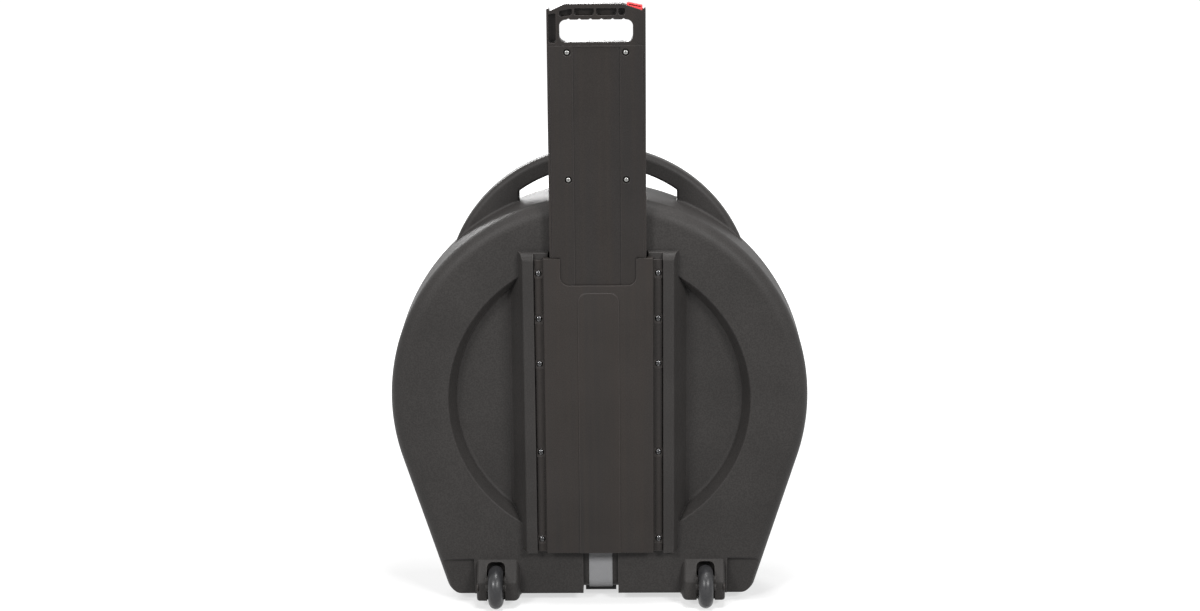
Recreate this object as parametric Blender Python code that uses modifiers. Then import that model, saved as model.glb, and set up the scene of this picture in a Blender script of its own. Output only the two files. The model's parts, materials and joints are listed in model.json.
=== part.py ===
"""Rolling cymbal case: two moulded shells closed by a strap, a sliding pull handle, two wheels and a centre post.

Metres, +Z up. The case stands on its wheels and two rubber feet, its back with the pull handle faces -Y,
and the lid faces +Y. Every depth below is measured from the ring-shaped back face. An empty then moves the
whole case back by FRAME_SHIFT, so that the middle of its base is the frame's origin.
"""

import math

import bmesh
import bpy
from mathutils import Matrix, Vector

# Outline of the case, seen from behind
CASE_RADIUS = 0.3335
CENTRE_HEIGHT = 0.3305
SIDE_LEAN = math.radians(17.3)
CORNER_RADIUS = 0.022
GROUND_CLEARANCE = 0.0135

# Depth and walls of the shells
BASE_DEPTH = 0.104
LID_DEPTH = 0.046
LID_INSET = 0.004
WALL = 0.004
EDGE_RADIUS = 0.024
BOTTOM_EDGE_RADIUS = 0.008
LIP_DEPTH = 0.010
LIP_GAP = 0.001
LIP_WALL = 0.0035

# Round recesses in the back and in the lid
RING_WIDTH = 0.0935
RECESS_DEPTH = 0.025
RECESS_DRAFT = 0.009
RECESS_FILLET = 0.005
LID_RECESS_DEPTH = 0.008
LID_RECESS_DRAFT = 0.004
LID_BAND_HALF = 0.045

# Carry handle moulded on the rim of the base
ARCH_RISE = 0.0625
ARCH_FOOT_HALF = 0.229
ARCH_BAR = 0.030
ARCH_DEPTH = 0.024
ARCH_EDGE = 0.009
ARCH_RIM_STEP = 0.0005
ARCH_HOLE_HALF = 0.1255
ARCH_HOLE_CORNER = 0.006

# Pull handle, drawn out as far as it goes
HANDLE_WIDTH = 0.151
HANDLE_LENGTH = 0.5063
HANDLE_THICKNESS = 0.0142
HANDLE_BACK_GAP = 0.0012
HANDLE_OVERLAP = 0.109
HANDLE_STOP_GAP = 0.001
HANDLE_SIDE_WALL = 0.0035
HANDLE_BACK_WALL = 0.002
HANDLE_END_WALL = 0.004
HANDLE_CORNER = 0.003
HANDLE_COVER_THICKNESS = 0.0025
HANDLE_COVER_LEDGE = 0.0025
HANDLE_COVER_RECESS_HALF = 0.036
HANDLE_COVER_RECESS_DEPTH = 0.0012
HANDLE_COVER_RECESS_DROP = 0.003

# Grip at the handle's top
GRIP_HEIGHT = 0.0631
GRIP_WINDOW_HALF = 0.056
GRIP_WINDOW_RISE = 0.005
GRIP_WINDOW_HEIGHT = 0.0343
GRIP_WINDOW_CORNER = 0.010
GRIP_NOTCH_PITCH = 0.0168
GRIP_NOTCH_COUNT = 6
GRIP_NOTCH_WIDTH = 0.004
GRIP_NOTCH_DEPTH = 0.0018
GRIP_POCKET_DEPTH = 0.009
GRIP_TOP_WALL = 0.0065
GRIP_POCKET_HEIGHT = 0.0105
GRIP_TOP_POCKETS = ((-0.0560, -0.0365), (-0.0330, -0.0030), (0.0002, 0.0314), (0.0340, 0.0443))
GRIP_SIDE_POCKET = (-0.0726, -0.0614)
GRIP_SHOULDER_LEFT = 0.0481
GRIP_SHOULDER_RIGHT = 0.0401
GRIP_SHOULDER_FALL = 0.0100
GRIP_POST_WIDTH = 0.0035
GRIP_POST_FALL = 0.0072

# Handle screws
HANDLE_SCREW_HALF = 0.0448
HANDLE_SCREW_DROP = 0.0740
HANDLE_SCREW_PITCH = 0.1985
HANDLE_SCREW_HEAD = 0.0034
HANDLE_SCREW_SHANK = 0.0015
HANDLE_SCREW_LENGTH = 0.008
HANDLE_SCREW_SINK = 0.0014
HANDLE_BOSS_RADIUS = 0.004

# Housing that the pull handle slides in
HOUSING_BOTTOM = 0.093
HOUSING_LENGTH = 0.491
HOUSING_END_WALL = 0.003
HOUSING_SIDE_GAP = 0.0013
HOUSING_FRONT_GAP = 0.0004
HOUSING_SIDE_WALL = 0.0092
HOUSING_PANEL = 0.0022
HOUSING_FLANGE_WIDTH = 0.0144
HOUSING_FLANGE_THICKNESS = 0.002
HOUSING_FLANGE_DROP = 0.004
HOUSING_CORNER = 0.004
HOUSING_NOTCH_HALF = 0.0595
HOUSING_NOTCH_DEPTH = 0.044
HOUSING_NOTCH_CORNER = 0.014
HOUSING_BAND_HALF = 0.0325
HOUSING_BAND_RISE = 0.0012
HOUSING_BAND_DROP = 0.056
HOUSING_BAND_CORNER = 0.015

# Housing screws
HOUSING_SCREW_STEPS = (0, 1, 2, 4, 6)
HOUSING_SCREW_PITCH = 0.0739
HOUSING_SCREW_DROP = 0.026
HOUSING_SCREW_INSET = 0.008
HOUSING_SCREW_HEAD = 0.00475
HOUSING_SCREW_DOME = 0.0028
HOUSING_SCREW_SHANK = 0.0019
HOUSING_SCREW_LENGTH = 0.011
SCREW_POCKET_HALF_WIDTH = 0.0055
SCREW_POCKET_HALF_HEIGHT = 0.0065
SCREW_POCKET_DEPTH = 0.001

# Ribs beside the housing, the lands that carry it, and the tray behind the handle
RIB_GAP = 0.0011
RIB_FRONT_WIDTH = 0.017
RIB_SIDE_DRAFT = 0.007
RIB_FOOT_DRAFT = 0.0145
RIB_HEIGHT = 0.016
RIB_OVERHANG = 0.008
RIB_END_DROP = 0.019
RIB_CORNER = 0.004
LAND_HEIGHT = 0.007
LAND_DRAFT = 0.0015
TRAY_RECESS = 0.002
TRAY_THICKNESS = 0.0017
TRAY_TOP_DROP = 0.004

# Latch inside the pull handle
BUTTON_FROM_SIDE = 0.0048
BUTTON_WIDTH = 0.0237
BUTTON_STEM_WIDTH = 0.0112
BUTTON_PROUD = 0.0021
BUTTON_FALL = 0.0050
BUTTON_HEAD_FLOOR = 0.0155
BUTTON_STEM_FLOOR = 0.0245
LATCH_TRAVEL = 0.004
ROD_FROM_SIDE = 0.0105
ROD_WIDTH = 0.008
ROD_THICKNESS = 0.0027
ROD_FOOT_LEFT = 0.009
ROD_FOOT_RIGHT = 0.0065
ROD_FOOT_LIFT = 0.024
ROD_FOOT_HEIGHT = 0.024
ROD_SEAT_THICKNESS = 0.002
ROD_SEAT_DEPTH = 0.0080
BOLT_LIFT = 0.036
BOLT_HEIGHT = 0.008
BOLT_THICKNESS = 0.003
BOLT_LENGTH = 0.026
BOLT_REACH = 0.0038
BOLT_GAP = 0.0018
LATCH_SLOT_SPARE = 0.0008
PIN_RADIUS = 0.0015
GUIDE_RIB_HEIGHT = 0.0025
SPRING_RADIUS = 0.003
SPRING_WIRE = 0.0006
SPRING_TURNS = 6
SPRING_TURN_POINTS = 8

# Wheels, wells and the boxes around them
WHEEL_RADIUS = 0.035
WHEEL_WIDTH = 0.024
WHEEL_TRACK_HALF = 0.170
WHEEL_SETBACK = 0.020
WHEEL_SHOULDER = 0.008
HUB_RADIUS = 0.022
HUB_INSET = 0.001
AXLE_RADIUS = 0.004
AXLE_SEAT = 0.012
AXLE_CAP_RADIUS = 0.0075
AXLE_CAP_THICKNESS = 0.003
WELL_SIDE_GAP = 0.0028
WELL_RADIAL_GAP = 0.006
WELL_CORNER = 0.009
CHEEK_WIDTH = 0.0165
BOX_FRONT = 0.027
BOX_CREASE = 0.0215
BOX_SIDE_DRAFT = 0.007
BOX_CREASE_HEIGHT = 0.046
BOX_TOP_HEIGHT = 0.079
BOX_BOTTOM_HEIGHT = 0.012
BOX_CORNER = 0.008
BOX_ROOT = 0.006

# Corner steps and feet
STEP_DEPTH = 0.008
STEP_HEIGHT = 0.075
STEP_CHAMFER = 0.004
STEP_GAP = 0.004
FOOT_TRACK_HALF = 0.150
FOOT_FROM_SEAM = 0.022
FOOT_RADIUS = 0.016
FOOT_TOP_RADIUS = 0.013
FOOT_SINK = 0.005
FOOT_SCREW_HEAD = 0.004
FOOT_SCREW_SHANK = 0.0019
FOOT_SCREW_LENGTH = 0.014

# Strap, its channel and its two buckles
STRAP_WIDTH = 0.038
STRAP_THICKNESS = 0.002
STRAP_GRIP = 0.008
CHANNEL_WIDTH = 0.057
CHANNEL_DEPTH = 0.008
CHANNEL_CORNER = 0.016
LID_CHANNEL_DEPTH = 0.004
BUCKLE_WIDTH = 0.050
BUCKLE_HEIGHT = 0.011
BUCKLE_WALL = 0.0028
BUCKLE_FROM_BACK = 0.030
SOCKET_LENGTH = 0.036
SOCKET_MOUTH_DEPTH = 0.024
TONGUE_LENGTH = 0.016
TONGUE_HEIGHT = 0.009
BLADE_LENGTH = 0.022
BLADE_THICKNESS = 0.003
BLADE_GAP = 0.0004
CATCH_SIZE = 0.014
CATCH_FROM_MOUTH = 0.013
CATCH_PROUD = 0.001
CATCH_TRAVEL = 0.002

# Centre post with its clamp, and the padding
BOARD_SIZE = 0.160
BOARD_THICKNESS = 0.0166
FLANGE_RADIUS = 0.040
FLANGE_THICKNESS = 0.004
FLANGE_SCREW_RING = 0.028
FLANGE_SCREW_COUNT = 3
FLANGE_SCREW_HEAD = 0.004
FLANGE_SCREW_SHANK = 0.002
FLANGE_SCREW_LENGTH = 0.012
POST_RADIUS = 0.004
POST_END_GAP = 0.0088
POST_END_SPARE = 0.002
FELT_RADIUS = 0.020
FELT_THICKNESS = 0.006
WASHER_RADIUS = 0.017
WASHER_THICKNESS = 0.002
WING_NUT_HEIGHT = 0.010
WING_NUT_RADIUS = 0.008
WING_SPAN_HALF = 0.022
WING_THICKNESS = 0.004
WING_RISE = 0.006
PAD_THICKNESS = 0.012
PAD_MARGIN = 0.015
PAD_HOLE_MARGIN = 0.008
WALL_PAD_START = 0.030
WALL_PAD_THICKNESS = 0.012

# Clearances between pieces
GAP = 0.0003
RUNNING_GAP = 0.0003
OVERCUT = 0.010
WELD_DISTANCE = 0.000002

# How finely round shapes are cut
ARC_STEPS = 26
CORNER_STEPS = 4
EDGE_STEPS = 4
RING_STEPS = 56
WHEEL_STEPS = 36
SMALL_STEPS = 12
HOLE_STEPS = 10

# The case
CENTRE_Z = GROUND_CLEARANCE + CENTRE_HEIGHT
TOP_Z = CENTRE_Z + CASE_RADIUS
SEAM_Y = BASE_DEPTH
FACE_Y = BASE_DEPTH + LID_DEPTH
RECESS_RADIUS = CASE_RADIUS - RING_WIDTH
CHANNEL_HALF = CHANNEL_WIDTH / 2

# The pull handle and its housing
HANDLE_HALF = HANDLE_WIDTH / 2
ROD_CENTRE = HANDLE_HALF - ROD_FROM_SIDE
BUTTON_RIGHT = HANDLE_HALF - BUTTON_FROM_SIDE
BUTTON_LEFT = BUTTON_RIGHT - BUTTON_WIDTH
BUTTON_STEM_LEFT = BUTTON_RIGHT - BUTTON_STEM_WIDTH
HANDLE_BACK = -HANDLE_BACK_GAP
HANDLE_FRONT = HANDLE_BACK - HANDLE_THICKNESS
HANDLE_FLOOR = HANDLE_BACK - HANDLE_BACK_WALL
HANDLE_COVER_BACK = HANDLE_FRONT + HANDLE_COVER_THICKNESS
HOUSING_TOP = HOUSING_BOTTOM + HOUSING_LENGTH
HANDLE_BOTTOM = HOUSING_TOP - HANDLE_OVERLAP
HANDLE_TOP = HANDLE_BOTTOM + HANDLE_LENGTH
HANDLE_TRAVEL = HANDLE_BOTTOM - HOUSING_BOTTOM - HOUSING_END_WALL - HANDLE_STOP_GAP
GRIP_BOTTOM = HANDLE_TOP - GRIP_HEIGHT
SLOT_HALF = HANDLE_HALF + HOUSING_SIDE_GAP
PANEL_HALF = SLOT_HALF + HOUSING_SIDE_WALL
FLANGE_HALF = PANEL_HALF + HOUSING_FLANGE_WIDTH
PANEL_BACK = HANDLE_FRONT - HOUSING_FRONT_GAP
PANEL_FRONT = PANEL_BACK - HOUSING_PANEL
FLANGE_BACK = -LAND_HEIGHT - GAP
FLANGE_FRONT = FLANGE_BACK - HOUSING_FLANGE_THICKNESS
HOUSING_SCREW_X = PANEL_HALF + HOUSING_SCREW_INSET

# The ribs and the tray
RIB_INNER = FLANGE_HALF + RIB_GAP
RIB_OUTER = RIB_INNER + RIB_FRONT_WIDTH
RIB_BASE = RIB_OUTER + RIB_SIDE_DRAFT
RIB_FOOT = RIB_BASE + RIB_FOOT_DRAFT
RIB_TOP = HOUSING_TOP + RIB_OVERHANG
TRAY_BED_HALF = SLOT_HALF + 2 * GAP

# The latch
ROD_BACK = HANDLE_FLOOR - GAP
ROD_FRONT = ROD_BACK - ROD_THICKNESS
BOLT_BACK = ROD_FRONT - BOLT_GAP
BOLT_FRONT = BOLT_BACK - BOLT_THICKNESS
BOLT_Z = HANDLE_BOTTOM + BOLT_LIFT
BOLT_TIP = SLOT_HALF + BOLT_REACH

# The wheels
WELL_RADIUS = WHEEL_RADIUS + WELL_RADIAL_GAP
WELL_HALF = WHEEL_WIDTH / 2 + WELL_SIDE_GAP
BOX_HALF = WELL_HALF + CHEEK_WIDTH

# Half way between the wheels' front and the lid's face
FRAME_SHIFT = (FACE_Y - WHEEL_SETBACK - WHEEL_RADIUS) / 2

# The centre post
BOARD_BACK = CHANNEL_DEPTH + WALL + GAP
BOARD_FRONT = BOARD_BACK + BOARD_THICKNESS
POST_BACK = BOARD_FRONT + GAP
POST_END = FACE_Y - LID_RECESS_DEPTH - WALL - PAD_THICKNESS - POST_END_GAP
POST_LENGTH = POST_END - POST_BACK
NUT_BACK = POST_END - POST_END_SPARE - WING_NUT_HEIGHT
WASHER_BACK = NUT_BACK - GAP - WASHER_THICKNESS
UPPER_FELT_BACK = WASHER_BACK - GAP - FELT_THICKNESS


def clear_scene():
    for existing in list(bpy.data.objects):
        bpy.data.objects.remove(existing)


def make_collection(name):
    collection = bpy.data.collections.new(name)
    bpy.context.scene.collection.children.link(collection)
    return collection


def make_material(name, colour, roughness, metallic=0.0):
    material = bpy.data.materials.new(name)
    material.use_nodes = True
    shader = material.node_tree.nodes["Principled BSDF"]
    shader.inputs["Base Color"].default_value = (*colour, 1)
    shader.inputs["Roughness"].default_value = roughness
    shader.inputs["Metallic"].default_value = metallic
    return material


def add_object(name, mesh):
    """A new object among the cutters. It stays hidden there until piece() shows it."""
    made = bpy.data.objects.new(name, mesh)
    made.parent = FRAME
    CUTTERS.objects.link(made)
    made.hide_render = True
    made.display_type = "WIRE"
    return made


def object_from_bmesh(name, shape):
    bmesh.ops.recalc_face_normals(shape, faces=shape.faces)
    mesh = bpy.data.meshes.new(name)
    shape.to_mesh(mesh)
    shape.free()
    return add_object(name, mesh)


def block(name, low, high):
    """A box between two corners."""
    shape = bmesh.new()
    bmesh.ops.create_cube(shape, size=1)
    size = [high[i] - low[i] for i in range(3)]
    middle = [(high[i] + low[i]) / 2 for i in range(3)]
    bmesh.ops.scale(shape, vec=size, verts=shape.verts)
    bmesh.ops.translate(shape, vec=middle, verts=shape.verts)
    return object_from_bmesh(name, shape)


def rod(name, start, end, radius, sides=SMALL_STEPS):
    """A cylinder from one point to another."""
    start = Vector(start)
    along = Vector(end) - start
    shape = bmesh.new()
    bmesh.ops.create_cone(
        shape, cap_ends=True, segments=sides, radius1=radius, radius2=radius, depth=along.length
    )
    turn = Vector((0, 0, 1)).rotation_difference(along).to_matrix().to_4x4()
    place = Matrix.Translation(start + along / 2) @ turn
    bmesh.ops.transform(shape, matrix=place, verts=shape.verts)
    return object_from_bmesh(name, shape)


def gather(name, tools):
    """One cutter from several that don't touch each other."""
    shape = bmesh.new()
    for tool in tools:
        shape.from_mesh(tool.data)
        bpy.data.objects.remove(tool)
    return object_from_bmesh(name, shape)


def turned(name, profile, centre, direction, steps=SMALL_STEPS, closed=False):
    """A turned shape. The profile lists (radius, height) down its outer side, with height along direction."""
    shape = bmesh.new()
    corners = [shape.verts.new((radius, 0, height)) for radius, height in profile]
    for first, second in zip(corners, corners[1:]):
        shape.edges.new((first, second))
    if closed:
        shape.edges.new((corners[-1], corners[0]))
    mesh = bpy.data.meshes.new(name)
    shape.to_mesh(mesh)
    shape.free()
    made = add_object(name, mesh)
    screw = made.modifiers.new("turn", "SCREW")
    screw.steps = steps
    screw.render_steps = steps
    screw.use_merge_vertices = True
    screw.merge_threshold = 0.00001
    made.rotation_mode = "QUATERNION"
    made.rotation_quaternion = Vector((0, 0, 1)).rotation_difference(Vector(direction))
    made.location = centre
    return made


def turned_ring(name, inner, outer, low, high, centre, direction, steps=SMALL_STEPS):
    profile = [(outer, high), (outer, low), (inner, low), (inner, high)]
    return turned(name, profile, centre, direction, steps, closed=True)


# How an outline's own x, y and thickness turn into the world's X, Y and Z
PLANES = {
    "XZ": Matrix(((1, 0, 0, 0), (0, 0, -1, 0), (0, 1, 0, 0), (0, 0, 0, 1))),
    "YZ": Matrix(((0, 0, 1, 0), (1, 0, 0, 0), (0, 1, 0, 0), (0, 0, 0, 1))),
    "XY": Matrix.Identity(4),
}


def plate(name, outlines, plane, near, far):
    """A flat plate between two depths. Its first outline is the outside, and the others are holes."""
    curve = bpy.data.curves.new(name, "CURVE")
    curve.dimensions = "2D"
    curve.fill_mode = "BOTH"
    curve.extrude = abs(far - near) / 2
    for outline in outlines:
        spline = curve.splines.new("POLY")
        spline.points.add(len(outline) - 1)
        for point, place in zip(spline.points, outline):
            point.co = (place[0], place[1], 0, 1)
        spline.use_cyclic_u = True
    guide = bpy.data.objects.new(name + "_outline", curve)
    bpy.context.scene.collection.objects.link(guide)
    bpy.context.view_layer.update()
    evaluated = guide.evaluated_get(bpy.context.evaluated_depsgraph_get())
    mesh = bpy.data.meshes.new_from_object(evaluated)
    bpy.data.objects.remove(guide)
    sign = -1 if plane == "XZ" else 1
    mesh.transform(PLANES[plane] @ Matrix.Translation((0, 0, sign * (near + far) / 2)))
    shape = bmesh.new()
    shape.from_mesh(mesh)
    bpy.data.meshes.remove(mesh)
    bmesh.ops.remove_doubles(shape, verts=shape.verts, dist=0.000001)
    return object_from_bmesh(name, shape)


def loft(name, rings):
    """A closed solid through rings of points, one after the other, with flat ends."""
    shape = bmesh.new()
    loops = [[shape.verts.new(point) for point in ring] for ring in rings]
    for first, second in zip(loops, loops[1:]):
        for index in range(len(first)):
            after = (index + 1) % len(first)
            shape.faces.new((first[index], first[after], second[after], second[index]))
    shape.faces.new(loops[0])
    shape.faces.new(loops[-1])
    return object_from_bmesh(name, shape)


def boolean(target, tool, operation):
    modifier = target.modifiers.new(tool.name, "BOOLEAN")
    modifier.operation = operation
    modifier.solver = "EXACT"
    modifier.object = tool


def cut(target, *tools):
    for tool in tools:
        boolean(target, tool, "DIFFERENCE")
    return target


def join(target, *tools):
    for tool in tools:
        boolean(target, tool, "UNION")
    return target


def piece(made, material, axis=None):
    """Shows an object as one of the case's pieces. A moving one hangs on the empty on its joint's axis."""
    made.data.materials.clear()
    made.data.materials.append(material)
    if any(modifier.type == "BOOLEAN" for modifier in made.modifiers):
        made.modifiers.new("weld", "WELD").merge_threshold = WELD_DISTANCE
    if made.type == "MESH" and made.data.polygons:
        made.data.shade_smooth()
        made.data.set_sharp_from_angle(angle=math.radians(35))
    CUTTERS.objects.unlink(made)
    PIECES.objects.link(made)
    made.hide_render = False
    made.display_type = "TEXTURED"
    if axis is not None:
        made.parent = axis
        made.matrix_parent_inverse = Matrix.Translation(axis.location).inverted()
    return made


def joint_axis(name, place):
    axis = bpy.data.objects.new(name, None)
    axis.location = place
    axis.parent = FRAME
    axis.empty_display_size = 0.03
    PIECES.objects.link(axis)
    return axis


def rounded(corners, steps=CORNER_STEPS):
    """Points of a closed outline whose corners (x, y, radius) are rounded with arcs."""
    points = []
    for index, (x, y, radius) in enumerate(corners):
        corner = Vector((x, y))
        if radius == 0:
            points.append(corner)
            continue
        back = (Vector(corners[index - 1][:2]) - corner).normalized()
        ahead = (Vector(corners[(index + 1) % len(corners)][:2]) - corner).normalized()
        half_angle = back.angle(ahead) / 2
        centre = corner + (back + ahead).normalized() * radius / math.sin(half_angle)
        start = corner + back * radius / math.tan(half_angle) - centre
        end = corner + ahead * radius / math.tan(half_angle) - centre
        swing = start.angle(end)
        for step in range(steps + 1):
            share = step / steps
            blend = start * math.sin((1 - share) * swing) + end * math.sin(share * swing)
            points.append(centre + blend / math.sin(swing))
    return points


def rectangle(left, right, low, high, radius=0.0):
    return rounded([(left, low, radius), (right, low, radius), (right, high, radius), (left, high, radius)])


def mirrored(right_half):
    """The corners of a symmetric outline, from those of its right half, none on the centre line."""
    return right_half + [(-corner[0], *corner[1:]) for corner in reversed(right_half)]


def arc(centre, radius, start, end, steps):
    angles = [start + (end - start) * step / steps for step in range(steps + 1)]
    return [(centre[0] + radius * math.cos(a), centre[1] + radius * math.sin(a)) for a in angles]


def case_outline(inset, bottom_inset):
    """The case's outline in X and Z: a round top whose sides lean in to a flat bottom."""
    radius = CASE_RADIUS - inset
    corner = max(CORNER_RADIUS - inset, 0.002)
    corner_z = GROUND_CLEARANCE + bottom_inset + corner
    drop = corner_z - CENTRE_Z
    corner_x = (radius - corner + drop * math.sin(SIDE_LEAN)) / math.cos(SIDE_LEAN)
    right = arc((corner_x, corner_z), corner, -math.pi / 2, -SIDE_LEAN, CORNER_STEPS)
    right += arc((0, CENTRE_Z), radius, -SIDE_LEAN, math.pi / 2, ARC_STEPS)[:-1]
    return right + [(0, CENTRE_Z + radius)] + [(-x, z) for x, z in reversed(right)]


def case_solid(name, face_y, open_y, inset, edge, bottom_edge):
    """A solid with the case's outline, rounded where its side meets the face."""
    inward = 1 if open_y > face_y else -1
    rings = []
    depths = [edge * (1 - math.cos(math.pi / 2 * step / EDGE_STEPS)) for step in range(EDGE_STEPS + 1)]
    for depth in depths + [abs(open_y - face_y)]:
        side = edge - math.sqrt(edge**2 - max(edge - depth, 0) ** 2)
        bottom = bottom_edge - math.sqrt(bottom_edge**2 - min(max(bottom_edge - depth, 0), bottom_edge) ** 2)
        outline = case_outline(inset + side, inset + bottom)
        rings.append([(x, face_y + inward * depth, z) for x, z in outline])
    return loft(name, rings)


def case_plug(name, low_y, high_y, inset):
    """A straight solid with the case's outline."""
    return loft(name, [[(x, y, z) for x, z in case_outline(inset, inset)] for y in (low_y, high_y)])


def recess_tool(name, face_y, depth, draft, grow):
    """A round dish to cut. Grown by a wall, it leaves that wall around the dish inside the case."""
    outward = -1 if face_y < SEAM_Y else 1
    lip = RECESS_RADIUS + grow
    fillet = min(RECESS_FILLET, depth / 2)
    slope = draft * fillet / depth
    profile = [
        (0, OVERCUT + LAND_HEIGHT),
        (lip + 0.6 * fillet, OVERCUT + LAND_HEIGHT),
        (lip + 0.6 * fillet, -grow),
        (lip - 0.4 * slope, -grow - 0.4 * fillet),
        (lip - draft + slope, -grow - depth + fillet),
        (lip - draft - 0.3 * fillet, -grow - depth + 0.3 * fillet),
        (lip - draft - fillet, -grow - depth),
        (0, -grow - depth),
    ]
    return turned(name, profile, (0, face_y, CENTRE_Z), (0, outward, 0), RING_STEPS)


def channel_core(grow):
    """The floor of the strap's channel, as a rounded rectangle in Y and Z that is moved out by grow."""
    corner = CHANNEL_CORNER + grow
    back = CHANNEL_DEPTH - grow
    front = FACE_Y - LID_CHANNEL_DEPTH + grow
    low = GROUND_CLEARANCE + CHANNEL_DEPTH - grow
    high = TOP_Z - CHANNEL_DEPTH + grow
    return rectangle(back, front, low, high, corner)


def channel_tool(name, grow, half_width):
    """What lies outside the channel's floor, over the channel's width, all the way round the case."""
    reach = 0.03
    outside = rectangle(-reach, FACE_Y + reach, -reach, TOP_Z + reach)
    return plate(name, [outside, channel_core(grow)], "YZ", -half_width, half_width)


def sides():
    return (("left", -1), ("right", 1))


def spans(sign, near, far):
    """A stretch in X on the left or the right side, as its lower and higher end."""
    return sorted((sign * near, sign * far))


def make_centre_block():
    """The pedestal behind the housing: ribs at its sides, lands for the flanges and a bed for the tray."""
    corners = [
        (TRAY_BED_HALF, TRAY_RECESS, 0),
        (TRAY_BED_HALF + LAND_DRAFT, -LAND_HEIGHT, 0),
        (RIB_INNER, -LAND_HEIGHT, 0),
        (RIB_INNER, -RIB_HEIGHT, 0.001),
        (RIB_OUTER, -RIB_HEIGHT, RIB_CORNER),
        (RIB_BASE, 0, 0),
        (RIB_FOOT, RECESS_DEPTH + WALL / 4, 0),
    ]
    pedestal = plate("pedestal", [rounded(mirrored(corners))], "XY", HOUSING_BOTTOM - WALL / 4, RIB_TOP)
    slope = [(0.0, 0.0), (-0.25, 0.08), (-0.55, 0.29), (-0.8, 0.6), (-1.03, 1.05)]
    curve = [(RIB_HEIGHT * depth, RIB_TOP - RIB_END_DROP * fall) for depth, fall in slope]
    beyond = [(-RIB_HEIGHT - OVERCUT, curve[-1][1]), (-RIB_HEIGHT - OVERCUT, RIB_TOP + OVERCUT)]
    corner = [(OVERCUT / 20, RIB_TOP + OVERCUT), (OVERCUT / 20, RIB_TOP + OVERCUT / 20)]
    end = plate("rib_end", [curve + beyond + corner], "YZ", -RIB_FOOT - OVERCUT, RIB_FOOT + OVERCUT)
    return cut(pedestal, end)


def make_trench(name):
    """The hollow inside the pedestal, one wall behind its surface."""
    floor = TRAY_RECESS + WALL
    keel = CHANNEL_DEPTH + WALL
    side = 0.6 * WALL
    centre = [
        (CHANNEL_HALF + WALL, keel, 0),
        (CHANNEL_HALF + WALL, floor, 0),
        (RIB_BASE - side, floor, 0),
        (RIB_FOOT - side, RECESS_DEPTH + 1.5 * WALL, 0),
    ]
    low = HOUSING_BOTTOM + WALL
    trench = plate(name, [rounded(mirrored(centre))], "XY", low, RIB_TOP - WALL)
    for label, sign in sides():
        hollow = [
            (TRAY_BED_HALF + LAND_DRAFT + WALL, floor + WALL / 4),
            (TRAY_BED_HALF + LAND_DRAFT + WALL, -LAND_HEIGHT + WALL),
            (RIB_INNER + WALL, -LAND_HEIGHT + WALL),
            (RIB_INNER + WALL, -RIB_HEIGHT + WALL),
            (RIB_OUTER - WALL, -RIB_HEIGHT + WALL),
            (RIB_BASE - WALL, floor + WALL / 4),
        ]
        outline = [(sign * x, y) for x, y in hollow]
        top = RIB_TOP - RIB_END_DROP - WALL
        join(trench, plate("rib_hollow_" + label, [outline], "XY", low, top))
    return trench


def arch_circle():
    """The centre height and the radius of the circle through the arch's top and its two feet."""
    top = TOP_Z + ARCH_RISE
    foot_z = CENTRE_Z + math.sqrt(CASE_RADIUS**2 - ARCH_FOOT_HALF**2)
    centre_z = (top**2 - ARCH_FOOT_HALF**2 - foot_z**2) / (2 * (top - foot_z))
    return centre_z, top - centre_z


def make_arch():
    """The carry handle: a bar that stands on the rim with its two feet."""
    centre_z, radius = arch_circle()
    edge = [
        (radius - ARCH_EDGE * (1 - math.cos(a)), ARCH_DEPTH - ARCH_EDGE * (1 - math.sin(a)))
        for a in (math.radians(90), math.radians(60), math.radians(30), 0)
    ]
    profile = [(0, ARCH_DEPTH)] + edge + [(radius, 0), (0, 0)]
    arch = turned("carry_arch", profile, (0, SEAM_Y - ARCH_RIM_STEP, centre_z), (0, -1, 0), RING_STEPS)
    steps = 16
    upper_radius = radius - ARCH_BAR
    lower_radius = CASE_RADIUS - ARCH_HOLE_CORNER
    lower = math.asin(ARCH_HOLE_HALF / lower_radius)
    upper = math.asin(ARCH_HOLE_HALF / upper_radius)
    up = math.pi / 2
    points = arc((0, CENTRE_Z), lower_radius, up + lower, up - lower, steps)
    points += arc((0, centre_z), upper_radius, up - upper, up + upper, steps)
    ends = (steps + 1, 2 * steps + 1)
    corners = [(*p, ARCH_HOLE_CORNER if i in ends else 0) for i, p in enumerate(points)]
    low = SEAM_Y - ARCH_DEPTH - OVERCUT
    high = SEAM_Y + OVERCUT
    cut(arch, plate("arch_hole", [rounded(corners)], "XZ", low, high), case_plug("arch_seat", low, high, -GAP))
    return piece(arch, SHELL_PLASTIC)


def make_wheel_box(label, sign):
    """The moulded box around a wheel. Its sides fall away to the back face where they start."""
    corners = [
        (BOX_ROOT, BOX_TOP_HEIGHT, 0),
        (0, BOX_TOP_HEIGHT, 0),
        (-BOX_CREASE, BOX_CREASE_HEIGHT, BOX_CORNER),
        (-BOX_FRONT, BOX_BOTTOM_HEIGHT, BOX_CORNER),
        (BOX_ROOT, BOX_BOTTOM_HEIGHT, 0),
    ]
    outline = rounded(corners)
    stations = [
        (-BOX_HALF - BOX_SIDE_DRAFT, 0.02),
        (-BOX_HALF - 0.3 * BOX_SIDE_DRAFT, 0.80),
        (-BOX_HALF + 0.4 * BOX_SIDE_DRAFT, 1.0),
        (BOX_HALF - 0.4 * BOX_SIDE_DRAFT, 1.0),
        (BOX_HALF, 0.90),
    ]
    rings = []
    for x, share in stations:
        place = sign * (WHEEL_TRACK_HALF + x)
        rings.append([(place, y if y > 0 else y * share, z) for y, z in outline])
    return loft("wheel_box_" + label, rings)


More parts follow.
